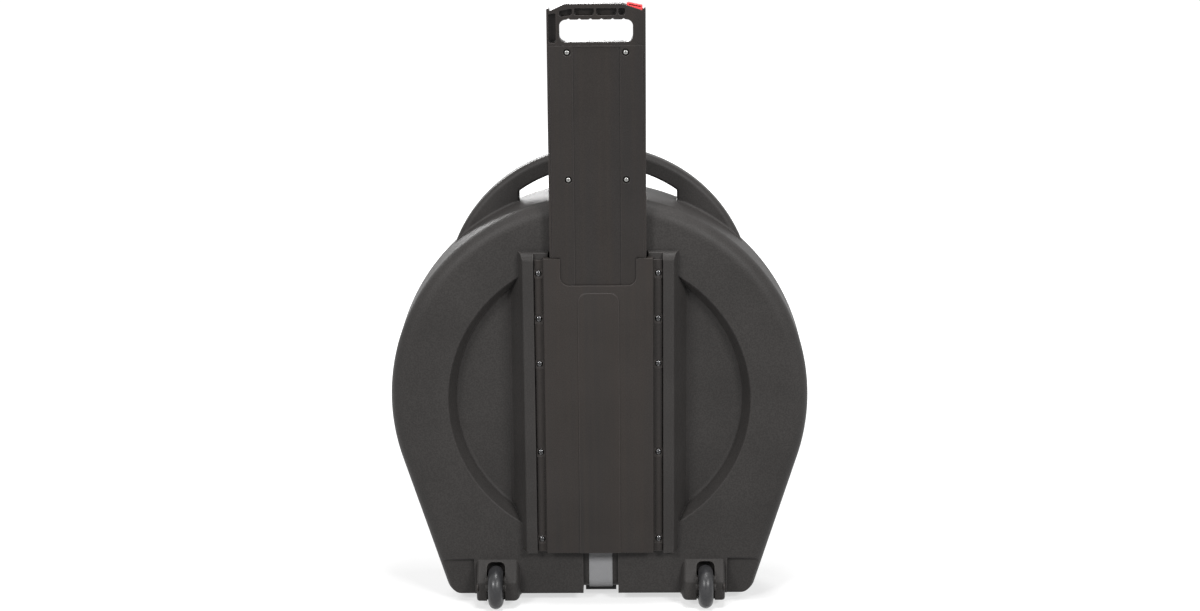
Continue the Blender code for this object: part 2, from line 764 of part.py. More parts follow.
def make_wheel_well(name, sign, grow):
    """The slot that a wheel runs in: round at the top, open below, its rims rounded."""
    half = WELL_HALF + grow
    radius = WELL_RADIUS + grow
    rings = []
    shoulder = [(1 - math.cos(a), 1 - math.sin(a)) for a in map(math.radians, (0, 30, 60, 90))]
    stations = [(-half + WELL_CORNER * along, WELL_CORNER * down) for along, down in shoulder]
    stations += [(-x, shrink) for x, shrink in reversed(stations)]
    for x, shrink in stations:
        top = arc((-WHEEL_SETBACK, WHEEL_RADIUS), radius - shrink, 0, math.pi, 14)
        outline = [(top[0][0], -OVERCUT)] + top + [(top[-1][0], -OVERCUT)]
        rings.append([(sign * (WHEEL_TRACK_HALF + x), y, z) for y, z in outline])
    return loft(name, rings)


def make_corner_step(name, sign, grow):
    """The shallow step outboard of a wheel box, at the bottom corner."""
    depth = STEP_DEPTH + grow
    outline = [
        (-OVERCUT, -OVERCUT),
        (depth, -OVERCUT),
        (depth, STEP_HEIGHT + grow - STEP_CHAMFER),
        (-OVERCUT, STEP_HEIGHT + grow + STEP_CHAMFER),
    ]
    inner = WHEEL_TRACK_HALF + BOX_HALF + STEP_GAP - grow
    near, far = spans(sign, inner, inner + CASE_RADIUS)
    return plate(name, [outline], "YZ", near, far)


def make_base_cavity():
    """What is hollow inside the base: its outline and pedestal, one wall in."""
    cavity = case_solid("base_cavity", WALL, SEAM_Y + OVERCUT, WALL, EDGE_RADIUS - WALL, BOTTOM_EDGE_RADIUS - WALL)
    cut(cavity, recess_tool("recess_wall", 0, RECESS_DEPTH, RECESS_DRAFT, WALL))
    join(cavity, make_trench("trench"))
    cut(cavity, channel_tool("channel_wall", -WALL, CHANNEL_HALF + WALL))
    for label, sign in sides():
        cut(cavity, make_wheel_well("well_wall_" + label, sign, WALL))
        cut(cavity, make_corner_step("step_wall_" + label, sign, WALL))
    return cavity


def housing_screw_places():
    heights = [HOUSING_TOP - HOUSING_SCREW_DROP - step * HOUSING_SCREW_PITCH for step in HOUSING_SCREW_STEPS]
    return [(sign * HOUSING_SCREW_X, z) for _, sign in sides() for z in heights]


def axle_span(sign):
    return [sign * (WHEEL_TRACK_HALF + x) for x in (-WELL_HALF - AXLE_SEAT, BOX_HALF - AXLE_CAP_THICKNESS)]


def make_base_shell():
    shell = case_solid("base_shell", 0, SEAM_Y, 0, EDGE_RADIUS, BOTTOM_EDGE_RADIUS)
    cut(shell, recess_tool("recess", 0, RECESS_DEPTH, RECESS_DRAFT, 0))
    join(shell, make_centre_block())
    bed_low = (-TRAY_BED_HALF, -OVERCUT, HOUSING_BOTTOM)
    cut(shell, block("tray_bed", bed_low, (TRAY_BED_HALF, TRAY_RECESS, HOUSING_TOP)))
    for label, sign in sides():
        join(shell, make_wheel_box(label, sign))
        cut(shell, make_corner_step("step_" + label, sign, 0))
    cut(shell, CHANNEL, make_base_cavity())
    for label, sign in sides():
        cut(shell, make_wheel_well("well_" + label, sign, 0))
        inner, outer = axle_span(sign)
        centre = (-WHEEL_SETBACK, WHEEL_RADIUS)
        start = (inner - sign * GAP, *centre)
        end = (outer + sign * OVERCUT, *centre)
        cut(shell, rod("axle_hole_" + label, start, end, AXLE_RADIUS + GAP))
        start = (outer - sign * GAP, *centre)
        cut(shell, rod("cap_hole_" + label, start, end, AXLE_CAP_RADIUS + GAP))
        foot = (sign * FOOT_TRACK_HALF, SEAM_Y - FOOT_FROM_SEAM)
        start = (*foot, GROUND_CLEARANCE - OVERCUT / 2)
        end = (*foot, GROUND_CLEARANCE + 2 * WALL)
        cut(shell, rod("foot_hole_" + label, start, end, FOOT_SCREW_SHANK + GAP, HOLE_STEPS))
    holes = []
    for x, z in housing_screw_places():
        start = (x, -LAND_HEIGHT - OVERCUT / 5, z)
        end = (x, -LAND_HEIGHT + WALL + OVERCUT / 5, z)
        holes.append(rod("land_hole", start, end, HOUSING_SCREW_SHANK + GAP, HOLE_STEPS))
    cut(shell, gather("land_holes", holes))
    return piece(shell, SHELL_PLASTIC)


def make_lid_shell(axis):
    lid = case_solid("lid_shell", FACE_Y, SEAM_Y + GAP, LID_INSET, EDGE_RADIUS - LID_INSET, BOTTOM_EDGE_RADIUS)
    lip = WALL + LIP_GAP
    join(lid, case_plug("lid_lip", SEAM_Y - LIP_DEPTH, SEAM_Y + WALL, lip))
    dish = recess_tool("lid_recess", FACE_Y, LID_RECESS_DEPTH, LID_RECESS_DRAFT, 0)
    band_low = (-LID_BAND_HALF, FACE_Y - 2 * LID_RECESS_DEPTH, 0)
    cut(dish, block("lid_band", band_low, (LID_BAND_HALF, FACE_Y + 3 * OVERCUT, TOP_Z + OVERCUT)))
    cut(lid, dish, CHANNEL)
    inner = lip + LIP_WALL
    inner_edge = EDGE_RADIUS - LID_INSET - WALL
    open_y = SEAM_Y - LIP_DEPTH - OVERCUT
    cavity = case_solid("lid_cavity", FACE_Y - WALL, open_y, inner, inner_edge, BOTTOM_EDGE_RADIUS - WALL)
    cut(cavity, recess_tool("lid_recess_wall", FACE_Y, LID_RECESS_DEPTH, LID_RECESS_DRAFT, WALL))
    cut(cavity, channel_tool("lid_channel_wall", -WALL, CHANNEL_HALF + WALL))
    notch_half = CHANNEL_HALF + WALL + LIP_GAP
    notch_low = (-notch_half, SEAM_Y - LIP_DEPTH - OVERCUT, 0)
    notch = block("lip_notch", notch_low, (notch_half, SEAM_Y + GAP, TOP_Z + OVERCUT))
    cut(lid, cavity, notch)
    return piece(lid, SHELL_PLASTIC, axis)


def make_housing_cover():
    section = [
        (PANEL_HALF, PANEL_FRONT, 0.001),
        (PANEL_HALF, FLANGE_FRONT, 0),
        (FLANGE_HALF, FLANGE_FRONT, 0),
        (FLANGE_HALF, FLANGE_BACK, 0),
        (SLOT_HALF, FLANGE_BACK, 0),
        (SLOT_HALF, PANEL_BACK, 0),
    ]
    outline = rounded(mirrored(section), 2)
    cover = plate("housing_cover", [outline], "XY", HOUSING_BOTTOM, HOUSING_TOP)
    band_top = HOUSING_TOP - HOUSING_BAND_DROP
    band = [
        (-HOUSING_BAND_HALF, HOUSING_BOTTOM + WALL / 20, 0),
        (HOUSING_BAND_HALF, HOUSING_BOTTOM + WALL / 20, 0),
        (HOUSING_BAND_HALF, band_top, HOUSING_BAND_CORNER),
        (-HOUSING_BAND_HALF, band_top, HOUSING_BAND_CORNER),
    ]
    band_front = PANEL_FRONT - HOUSING_BAND_RISE
    join(cover, plate("housing_band", [rounded(band)], "XZ", band_front, PANEL_FRONT + HOUSING_PANEL / 2))
    end_half = SLOT_HALF + GAP
    end_low = (-end_half, PANEL_BACK - HOUSING_PANEL / 2, HOUSING_BOTTOM)
    join(cover, block("housing_end", end_low, (end_half, -GAP, HOUSING_BOTTOM + HOUSING_END_WALL)))
    above = HOUSING_TOP + OVERCUT
    notch_floor = HOUSING_TOP - HOUSING_NOTCH_DEPTH
    notch = [
        (-HOUSING_NOTCH_HALF, notch_floor, HOUSING_NOTCH_CORNER),
        (HOUSING_NOTCH_HALF, notch_floor, HOUSING_NOTCH_CORNER),
        (HOUSING_NOTCH_HALF, above, 0),
        (-HOUSING_NOTCH_HALF, above, 0),
    ]
    cut(cover, plate("housing_notch", [rounded(notch)], "XZ", PANEL_FRONT - OVERCUT, PANEL_BACK + OVERCUT / 20))
    flange_top = HOUSING_TOP - HOUSING_FLANGE_DROP
    for label, sign in sides():
        near, far = spans(sign, PANEL_HALF, FLANGE_HALF + OVERCUT)
        low = (near, FLANGE_FRONT - OVERCUT / 5, flange_top)
        cut(cover, block("flange_top_" + label, low, (far, FLANGE_BACK + OVERCUT / 5, above)))
    slot_end = BOLT_HEIGHT / 2 + LATCH_SLOT_SPARE
    slot_low = (SLOT_HALF - OVERCUT / 5, BOLT_FRONT - LATCH_SLOT_SPARE, BOLT_Z - HANDLE_TRAVEL - slot_end)
    slot_high = (BOLT_TIP + LATCH_SLOT_SPARE, FLANGE_BACK + OVERCUT / 5, BOLT_Z + slot_end)
    cut(cover, block("latch_slot", slot_low, slot_high))
    pockets = []
    holes = []
    for x, z in housing_screw_places():
        pocket_low = (x - SCREW_POCKET_HALF_WIDTH, FLANGE_FRONT - OVERCUT / 5, z - SCREW_POCKET_HALF_HEIGHT)
        pocket_floor = FLANGE_FRONT + SCREW_POCKET_DEPTH
        pocket_high = (x + SCREW_POCKET_HALF_WIDTH, pocket_floor, z + SCREW_POCKET_HALF_HEIGHT)
        hole_start = (x, FLANGE_FRONT - OVERCUT / 5, z)
        hole_end = (x, FLANGE_BACK + OVERCUT / 5, z)
        pockets.append(block("screw_pocket", pocket_low, pocket_high))
        holes.append(rod("flange_hole", hole_start, hole_end, HOUSING_SCREW_SHANK + GAP, HOLE_STEPS))
    cut(cover, gather("flange_holes", holes), gather("screw_pockets", pockets))
    return piece(cover, HOUSING_PLASTIC)


def screw_profile(head, dome, shank, length):
    """A dome-headed screw: heights count from the underside of its head."""
    return [
        (0, dome),
        (0.5 * head, 0.93 * dome),
        (0.85 * head, 0.65 * dome),
        (head, 0.25 * dome),
        (head, 0),
        (shank, 0),
        (shank, -length),
        (0, -length),
    ]


def make_housing_screws():
    seat = FLANGE_FRONT + SCREW_POCKET_DEPTH - GAP
    profile = screw_profile(HOUSING_SCREW_HEAD, HOUSING_SCREW_DOME, HOUSING_SCREW_SHANK, HOUSING_SCREW_LENGTH)
    for number, (x, z) in enumerate(housing_screw_places(), 1):
        made = turned(f"housing_screw_{number:02d}", profile, (x, seat, z), (0, -1, 0), HOLE_STEPS)
        piece(made, BLACK_STEEL)


def make_guide_tray():
    half = TRAY_BED_HALF - GAP
    low = (-half, TRAY_RECESS - GAP - TRAY_THICKNESS, HOUSING_BOTTOM + GAP)
    high = (half, TRAY_RECESS - GAP, HOUSING_TOP - TRAY_TOP_DROP)
    return piece(block("guide_tray", low, high), HOUSING_PLASTIC)


def handle_screw_places():
    top = HANDLE_TOP - HANDLE_SCREW_DROP
    return [(sign * HANDLE_SCREW_HALF, z) for z in (top, top - HANDLE_SCREW_PITCH) for _, sign in sides()]


def grip_outline():
    """The whole handle seen from behind, with its sloped shoulders and the small posts at its top corners."""
    post_z = HANDLE_TOP - GRIP_POST_FALL
    shoulder_z = HANDLE_TOP - GRIP_SHOULDER_FALL
    post_x = HANDLE_HALF - GRIP_POST_WIDTH
    return rounded(
        [
            (-HANDLE_HALF, HANDLE_BOTTOM, HANDLE_CORNER),
            (HANDLE_HALF, HANDLE_BOTTOM, HANDLE_CORNER),
            (HANDLE_HALF, post_z, 0.0008),
            (post_x, post_z, 0.0008),
            (post_x - GRIP_POST_WIDTH / 2, shoulder_z, 0),
            (GRIP_SHOULDER_RIGHT, HANDLE_TOP, 0.008),
            (-GRIP_SHOULDER_LEFT, HANDLE_TOP, 0.008),
            (-post_x + GRIP_POST_WIDTH / 2, shoulder_z, 0),
            (-post_x, post_z, 0.0008),
            (-HANDLE_HALF, post_z, 0.0008),
        ]
    )


def button_outline(grow, drop):
    """The release button seen from behind. Grown, and dropped by its travel, it cuts the space it runs in."""
    head_floor = HANDLE_TOP - BUTTON_HEAD_FLOOR - grow - drop
    stem_floor = HANDLE_TOP - BUTTON_STEM_FLOOR - grow - drop
    top = HANDLE_TOP + BUTTON_PROUD + (OVERCUT if grow else 0)
    return [
        (BUTTON_LEFT - grow, head_floor),
        (BUTTON_STEM_LEFT - grow, head_floor),
        (BUTTON_STEM_LEFT - grow, stem_floor),
        (BUTTON_RIGHT + grow, stem_floor),
        (BUTTON_RIGHT + grow, top - BUTTON_FALL),
        (BUTTON_LEFT - grow, top),
    ]


def make_handle_body(axis):
    body = plate("handle_body", [grip_outline()], "XZ", HANDLE_FRONT, HANDLE_BACK)
    window_low = GRIP_BOTTOM + GRIP_WINDOW_RISE
    window_high = window_low + GRIP_WINDOW_HEIGHT
    window = rectangle(-GRIP_WINDOW_HALF, GRIP_WINDOW_HALF, window_low, window_high, GRIP_WINDOW_CORNER)
    cut(body, plate("grip_window", [window], "XZ", HANDLE_FRONT - OVERCUT, HANDLE_BACK + OVERCUT))
    for number in range(GRIP_NOTCH_COUNT):
        x = (number - (GRIP_NOTCH_COUNT - 1) / 2) * GRIP_NOTCH_PITCH
        half = GRIP_NOTCH_WIDTH / 2
        tooth = [
            (x - half, window_high - GRIP_NOTCH_DEPTH),
            (x + half, window_high - GRIP_NOTCH_DEPTH),
            (x + half, window_high),
            (x, window_high + GRIP_NOTCH_DEPTH),
            (x - half, window_high),
        ]
        cut(body, plate(f"grip_notch_{number}", [tooth], "XZ", HANDLE_FRONT - OVERCUT, HANDLE_BACK + OVERCUT))
    pocket_floor = HANDLE_FRONT + GRIP_POCKET_DEPTH
    pocket_top = HANDLE_TOP - GRIP_TOP_WALL
    for number, (left, right) in enumerate(GRIP_TOP_POCKETS):
        outline = rectangle(left, right, pocket_top - GRIP_POCKET_HEIGHT, pocket_top, 0.0015)
        cut(body, plate(f"grip_pocket_{number}", [outline], "XZ", HANDLE_FRONT - OVERCUT, pocket_floor))
    side_left, side_right = GRIP_SIDE_POCKET
    side_top = HANDLE_TOP - GRIP_SHOULDER_FALL - GRIP_POST_WIDTH
    outline = rectangle(side_left, side_right, window_low - GRIP_WINDOW_RISE / 5, side_top, 0.0015)
    cut(body, plate("grip_side_pocket", [outline], "XZ", HANDLE_FRONT - OVERCUT, pocket_floor))
    inner_half = HANDLE_HALF - HANDLE_SIDE_WALL
    ledge_z = GRIP_BOTTOM - HANDLE_COVER_LEDGE
    floor_z = HANDLE_BOTTOM + HANDLE_END_WALL
    front = HANDLE_FRONT - OVERCUT
    cut(
        body,
        block("cover_bed", (-inner_half, front, HANDLE_BOTTOM - OVERCUT), (inner_half, HANDLE_COVER_BACK + GAP, GRIP_BOTTOM)),
        block("handle_hollow", (-inner_half, front, floor_z), (inner_half, HANDLE_FLOOR, ledge_z)),
    )
    for number, (x, z) in enumerate(handle_screw_places()):
        start = (x, HANDLE_FLOOR + HANDLE_BACK_WALL / 2, z)
        end = (x, HANDLE_COVER_BACK + GAP, z)
        hole_end = (x, front, z)
        join(body, rod(f"handle_boss_{number}", start, end, HANDLE_BOSS_RADIUS))
        cut(body, rod(f"boss_hole_{number}", start, hole_end, HANDLE_SCREW_SHANK + GAP, HOLE_STEPS))
    button_space = button_outline(GAP, LATCH_TRAVEL + GAP)
    cut(body, plate("button_space", [button_space], "XZ", BUTTON_FRONT - GAP, BUTTON_BACK + GAP))
    rod_half = ROD_WIDTH / 2 + GAP
    rod_low = (ROD_CENTRE - rod_half, ROD_FRONT - GAP, ledge_z - OVERCUT)
    rod_high = (ROD_CENTRE + rod_half, ROD_BACK + GAP, HANDLE_TOP - BUTTON_STEM_FLOOR)
    cut(body, block("rod_space", rod_low, rod_high))
    slot_half = BOLT_HEIGHT / 2 + GAP
    slot_low = (inner_half - OVERCUT, BOLT_FRONT - GAP, BOLT_Z - slot_half)
    slot_high = (HANDLE_HALF + OVERCUT, BOLT_BACK + GAP, BOLT_Z + slot_half)
    cut(body, block("bolt_slot", slot_low, slot_high))
    return piece(body, HANDLE_PLASTIC, axis)


def make_handle_cover(axis):
    half = HANDLE_HALF - HANDLE_SIDE_WALL - GAP
    top = GRIP_BOTTOM - GAP
    cover = block("handle_cover", (-half, HANDLE_FRONT, HANDLE_BOTTOM), (half, HANDLE_COVER_BACK, top))
    sink = HANDLE_SCREW_HEAD + 2 * GAP
    hole = HANDLE_SCREW_SHANK + GAP
    profile = [(0, OVERCUT), (sink, OVERCUT), (sink, 0), (hole, 0), (hole, -OVERCUT), (0, -OVERCUT)]
    for number, (x, z) in enumerate(handle_screw_places()):
        seat = (x, HANDLE_FRONT + HANDLE_SCREW_SINK, z)
        cut(cover, turned(f"head_sink_{number}", profile, seat, (0, -1, 0)))
    recess_half = HANDLE_COVER_RECESS_HALF
    recess_low = (-recess_half, HANDLE_FRONT - OVERCUT, HANDLE_BOTTOM - OVERCUT)
    recess_high = (recess_half, HANDLE_FRONT + HANDLE_COVER_RECESS_DEPTH, GRIP_BOTTOM - HANDLE_COVER_RECESS_DROP)
    cut(cover, block("cover_recess", recess_low, recess_high))
    for label, sign in (("lower", -1), ("upper", 1)):
        edge = BOLT_HEIGHT / 2 + GAP
        low, high = sorted((BOLT_Z + sign * edge, BOLT_Z + sign * (edge + GUIDE_RIB_HEIGHT)))
        left = BOLT_TIP - BOLT_LENGTH
        join(
            cover,
            block("guide_rib_" + label, (left, HANDLE_COVER_BACK - 0.001, low), (half - GAP, ROD_FRONT - 2 * GAP, high)),
        )
    return piece(cover, HANDLE_PLASTIC, axis)


def make_handle_screws(axis):
    seat = HANDLE_FRONT + HANDLE_SCREW_SINK - GAP
    dome = HANDLE_SCREW_SINK
    profile = screw_profile(HANDLE_SCREW_HEAD, dome, HANDLE_SCREW_SHANK, HANDLE_SCREW_LENGTH)
    for number, (x, z) in enumerate(handle_screw_places(), 1):
        made = turned(f"handle_screw_{number}", profile, (x, seat, z), (0, -1, 0), HOLE_STEPS)
        piece(made, BRIGHT_STEEL, axis)


def make_latch(release_axis, bolt_axis, handle_axis):
    """The button presses the rod down. The rod's slanted slot draws the bolt's pin, and so the bolt, inward."""
    button = plate("release_button", [button_outline(0, 0)], "XZ", BUTTON_FRONT, BUTTON_BACK)
    piece(button, RED_PLASTIC, release_axis)

    foot_z = HANDLE_BOTTOM + ROD_FOOT_LIFT
    left = ROD_CENTRE - ROD_FOOT_LEFT
    right = ROD_CENTRE + ROD_FOOT_RIGHT
    strip_half = ROD_WIDTH / 2
    foot_top = foot_z + ROD_FOOT_HEIGHT
    rod_top = HANDLE_TOP - BUTTON_STEM_FLOOR - GAP
    outline = [
        (left, foot_z),
        (right, foot_z),
        (right, foot_top),
        (ROD_CENTRE + strip_half, foot_top + strip_half),
        (ROD_CENTRE + strip_half, rod_top),
        (ROD_CENTRE - strip_half, rod_top),
        (ROD_CENTRE - strip_half, foot_top + strip_half),
        (left, foot_top),
    ]
    slot_radius = PIN_RADIUS + RUNNING_GAP
    slant = math.radians(45)
    high_end = (ROD_CENTRE - LATCH_TRAVEL, BOLT_Z + LATCH_TRAVEL)
    slot = arc((ROD_CENTRE, BOLT_Z), slot_radius, -3 * slant, slant, 6)
    slot += arc(high_end, slot_radius, slant, 5 * slant, 6)
    push_rod = plate("push_rod", [outline, slot], "XZ", ROD_FRONT, ROD_BACK)
    seat_low = (left + GAP, ROD_BACK - ROD_SEAT_DEPTH, foot_z + GAP)
    seat_high = (right - GAP, ROD_BACK - ROD_THICKNESS / 2, foot_z + GAP + ROD_SEAT_THICKNESS)
    join(push_rod, block("rod_seat", seat_low, seat_high))
    piece(push_rod, BRIGHT_STEEL, release_axis)

    bolt_low = (BOLT_TIP - BOLT_LENGTH, BOLT_FRONT, BOLT_Z - BOLT_HEIGHT / 2)
    bolt = block("latch_bolt", bolt_low, (BOLT_TIP, BOLT_BACK, BOLT_Z + BOLT_HEIGHT / 2))
    pin_start = (ROD_CENTRE, BOLT_BACK - BOLT_THICKNESS / 2, BOLT_Z)
    join(bolt, rod("bolt_pin", pin_start, (ROD_CENTRE, ROD_BACK - GAP, BOLT_Z), PIN_RADIUS))
    piece(bolt, BRIGHT_STEEL, bolt_axis)

    spring_low = HANDLE_BOTTOM + HANDLE_END_WALL + GAP + SPRING_WIRE
    spring_high = foot_z - SPRING_WIRE
    spring_y = ROD_BACK - SPRING_RADIUS - SPRING_WIRE - 2 * GAP
    count = SPRING_TURNS * SPRING_TURN_POINTS
    curve = bpy.data.curves.new("return_spring", "CURVE")
    curve.dimensions = "3D"
    curve.bevel_depth = SPRING_WIRE
    curve.bevel_resolution = 1
    curve.use_fill_caps = True
    spline = curve.splines.new("POLY")
    spline.points.add(count)
    for index, point in enumerate(spline.points):
        angle = 2 * math.pi * index / SPRING_TURN_POINTS
        x = ROD_CENTRE + SPRING_RADIUS * math.cos(angle)
        y = spring_y + SPRING_RADIUS * math.sin(angle)
        point.co = (x, y, spring_low + (spring_high - spring_low) * index / count, 1)
    piece(add_object("return_spring", curve), BRIGHT_STEEL, handle_axis)


def make_wheels():
    shoulder = [(1 - math.cos(a), 1 - math.sin(a)) for a in map(math.radians, (90, 60, 30, 0))]
    half = WHEEL_WIDTH / 2
    upper = [(WHEEL_RADIUS - WHEEL_SHOULDER * r, half - WHEEL_SHOULDER * h) for r, h in shoulder]
    lower = [(radius, -height) for radius, height in reversed(upper)]
    seat = HUB_RADIUS + GAP
    tread = upper + lower + [(seat, -half), (seat, half)]
    hub_half = half - HUB_INSET
    for label, sign in sides():
        place = (sign * WHEEL_TRACK_HALF, -WHEEL_SETBACK, WHEEL_RADIUS)
        axis = joint_axis(f"wheel_{label}_axis", place)
        tyre = turned("tyre_" + label, tread, place, (1, 0, 0), WHEEL_STEPS, closed=True)
        piece(tyre, TYRE_RUBBER, axis)
        bore = AXLE_RADIUS + RUNNING_GAP
        hub = turned_ring("hub_" + label, bore, HUB_RADIUS, -hub_half, hub_half, place, (1, 0, 0), 24)
        piece(hub, HANDLE_PLASTIC, axis)
        inner, outer = axle_span(sign)
        start = (inner, -WHEEL_SETBACK, WHEEL_RADIUS)
        end = (outer - 2 * sign * GAP, -WHEEL_SETBACK, WHEEL_RADIUS)
        piece(rod("axle_" + label, start, end, AXLE_RADIUS), BRIGHT_STEEL)
        cap_start = (outer, -WHEEL_SETBACK, WHEEL_RADIUS)
        cap_end = (outer + sign * AXLE_CAP_THICKNESS, -WHEEL_SETBACK, WHEEL_RADIUS)
        piece(rod("axle_cap_" + label, cap_start, cap_end, AXLE_CAP_RADIUS), HOUSING_PLASTIC)


def make_feet():
    height = GROUND_CLEARANCE - GAP
    bore = FOOT_SCREW_SHANK + GAP
    sink = FOOT_SCREW_HEAD + 2 * GAP
    profile = [
        (FOOT_RADIUS, height),
        (FOOT_RADIUS, height / 3),
        (FOOT_TOP_RADIUS, 0),
        (sink, 0),
        (sink, FOOT_SINK),
        (bore, FOOT_SINK),
        (bore, height),
    ]
    screw = screw_profile(FOOT_SCREW_HEAD, FOOT_SINK / 2, FOOT_SCREW_SHANK, FOOT_SCREW_LENGTH)
    for label, sign in sides():
        x = sign * FOOT_TRACK_HALF
        y = SEAM_Y - FOOT_FROM_SEAM
        foot = turned("foot_" + label, profile, (x, y, 0), (0, 0, 1), 20, closed=True)
        piece(foot, TYRE_RUBBER)
        head = turned("foot_screw_" + label, screw, (x, y, FOOT_SINK - GAP), (0, 0, -1), HOLE_STEPS)
        piece(head, BLACK_STEEL)


def strap_ring(name):
    outlines = [channel_core(GAP + STRAP_THICKNESS), channel_core(GAP)]
    return plate(name, outlines, "YZ", -STRAP_WIDTH / 2, STRAP_WIDTH / 2)


def make_straps(lid_axis):
    reach = (STRAP_WIDTH, FACE_Y + OVERCUT, TOP_Z + OVERCUT)
    base_end = BUCKLE_FROM_BACK + STRAP_GRIP
    base = cut(strap_ring("strap_base"), block("strap_split_front", (-STRAP_WIDTH, base_end, 0), reach))
    piece(base, WEBBING)
    lid_start = BUCKLE_FROM_BACK + SOCKET_LENGTH + GAP + TONGUE_LENGTH - STRAP_GRIP
    split_high = (STRAP_WIDTH, lid_start, TOP_Z + OVERCUT)
    lid = cut(strap_ring("strap_lid"), block("strap_split_back", (-STRAP_WIDTH, -OVERCUT, 0), split_high))
    piece(lid, WEBBING, lid_axis)


def make_buckle(label, floor_z, out, lid_axis):
    """A buckle with a push catch. Its heights count outward from the channel's floor."""

    def part(name, half, start, end, low, high):
        low_z, high_z = sorted((floor_z + out * low, floor_z + out * high))
        return block(f"{name}_{label}", (-half, start, low_z), (half, end, high_z))

    half = BUCKLE_WIDTH / 2
    mouth_half = half - 2 * BUCKLE_WALL
    socket_front = BUCKLE_FROM_BACK + SOCKET_LENGTH
    mouth_low = GAP + BUCKLE_WALL
    blade_low = mouth_low + BLADE_GAP
    blade_high = blade_low + BLADE_THICKNESS
    mouth_high = blade_high + BLADE_GAP
    notch_half = STRAP_WIDTH / 2 + GAP
    notch_high = STRAP_THICKNESS + 2 * GAP
    catch_middle = socket_front - CATCH_FROM_MOUTH
    catch_half = CATCH_SIZE / 2
    catch_start = catch_middle - catch_half
    catch_end = catch_middle + catch_half
    catch_low = blade_high + 2 * BLADE_GAP

    socket = part("buckle_socket", half, BUCKLE_FROM_BACK, socket_front, GAP, GAP + BUCKLE_HEIGHT)
    mouth_start = socket_front - SOCKET_MOUTH_DEPTH
    cut(socket, part("mouth", mouth_half, mouth_start, socket_front + OVERCUT, mouth_low, mouth_high))
    notch_end = BUCKLE_FROM_BACK + STRAP_GRIP + GAP
    cut(socket, part("socket_notch", notch_half, BUCKLE_FROM_BACK - OVERCUT, notch_end, -GAP, notch_high))
    hole_high = BUCKLE_HEIGHT + OVERCUT
    hole = part("catch_hole", catch_half + GAP, catch_start - GAP, catch_end + GAP, blade_high, hole_high)
    piece(cut(socket, hole), BUCKLE_PLASTIC)

    catch_high = GAP + BUCKLE_HEIGHT + CATCH_PROUD
    axis = joint_axis(f"buckle_catch_{label}_axis", (0, catch_middle, floor_z + out * catch_low))
    catch = part("buckle_catch", catch_half, catch_start, catch_end, catch_low, catch_high)
    piece(catch, BUCKLE_PLASTIC, axis)

    tongue_start = socket_front + GAP
    tongue_end = tongue_start + TONGUE_LENGTH
    tongue = part("buckle_tongue", half, tongue_start, tongue_end, GAP, GAP + TONGUE_HEIGHT)
    blade_start = tongue_start - BLADE_LENGTH
    blade_half = mouth_half - BLADE_GAP
    blade = part("blade", blade_half, blade_start, tongue_start + WALL, blade_low, blade_high)
    window_half = catch_half + 2 * GAP
    window_start = catch_start - 2 * GAP
    window_end = catch_end + 2 * GAP
    window = part("blade_window", window_half, window_start, window_end, mouth_low - WALL / 4, mouth_high)
    cut(blade, window)
    join(tongue, blade)
    notch_start = tongue_end - STRAP_GRIP - GAP
    cut(tongue, part("tongue_notch", notch_half, notch_start, tongue_end + OVERCUT, -GAP, notch_high))
    piece(tongue, BUCKLE_PLASTIC, lid_axis)


def make_centre_post():
    half = BOARD_SIZE / 2
    low = (-half, BOARD_BACK, CENTRE_Z - half)
    board = block("post_board", low, (half, BOARD_FRONT, CENTRE_Z + half))
    profile = [
        (0, POST_LENGTH),
        (POST_RADIUS * 0.7, POST_LENGTH),
        (POST_RADIUS, POST_LENGTH - POST_RADIUS * 0.3),
        (POST_RADIUS, FLANGE_THICKNESS),
        (FLANGE_RADIUS, FLANGE_THICKNESS),
        (FLANGE_RADIUS, 0),
        (0, 0),
    ]
    post = turned("centre_post", profile, (0, POST_BACK, CENTRE_Z), (0, 1, 0), 22)
    flange_front = POST_BACK + FLANGE_THICKNESS
    screw = screw_profile(FLANGE_SCREW_HEAD, FLANGE_SCREW_HEAD / 2, FLANGE_SCREW_SHANK, FLANGE_SCREW_LENGTH)
    for number in range(FLANGE_SCREW_COUNT):
        angle = 2 * math.pi * number / FLANGE_SCREW_COUNT + math.pi / 2
        x = FLANGE_SCREW_RING * math.cos(angle)
        z = CENTRE_Z + FLANGE_SCREW_RING * math.sin(angle)
        bottom = flange_front + GAP - FLANGE_SCREW_LENGTH - GAP
        hole = FLANGE_SCREW_SHANK + GAP
        cut(board, rod(f"board_hole_{number}", (x, bottom, z), (x, BOARD_FRONT + OVERCUT, z), hole, HOLE_STEPS))
        start = (x, POST_BACK - OVERCUT / 5, z)
        cut(post, rod(f"post_hole_{number}", start, (x, flange_front + OVERCUT / 5, z), hole, HOLE_STEPS))
        made = turned(f"flange_screw_{number + 1}", screw, (x, flange_front + GAP, z), (0, 1, 0), HOLE_STEPS)
        piece(made, BRIGHT_STEEL)
    piece(board, PLYWOOD)
    piece(post, BRIGHT_STEEL)
    bore = POST_RADIUS + RUNNING_GAP
    felt_start = flange_front + GAP
    place = (0, felt_start, CENTRE_Z)
    felt = turned_ring("lower_felt", bore, FELT_RADIUS, 0, FELT_THICKNESS, place, (0, 1, 0), 20)
    piece(felt, FELT)


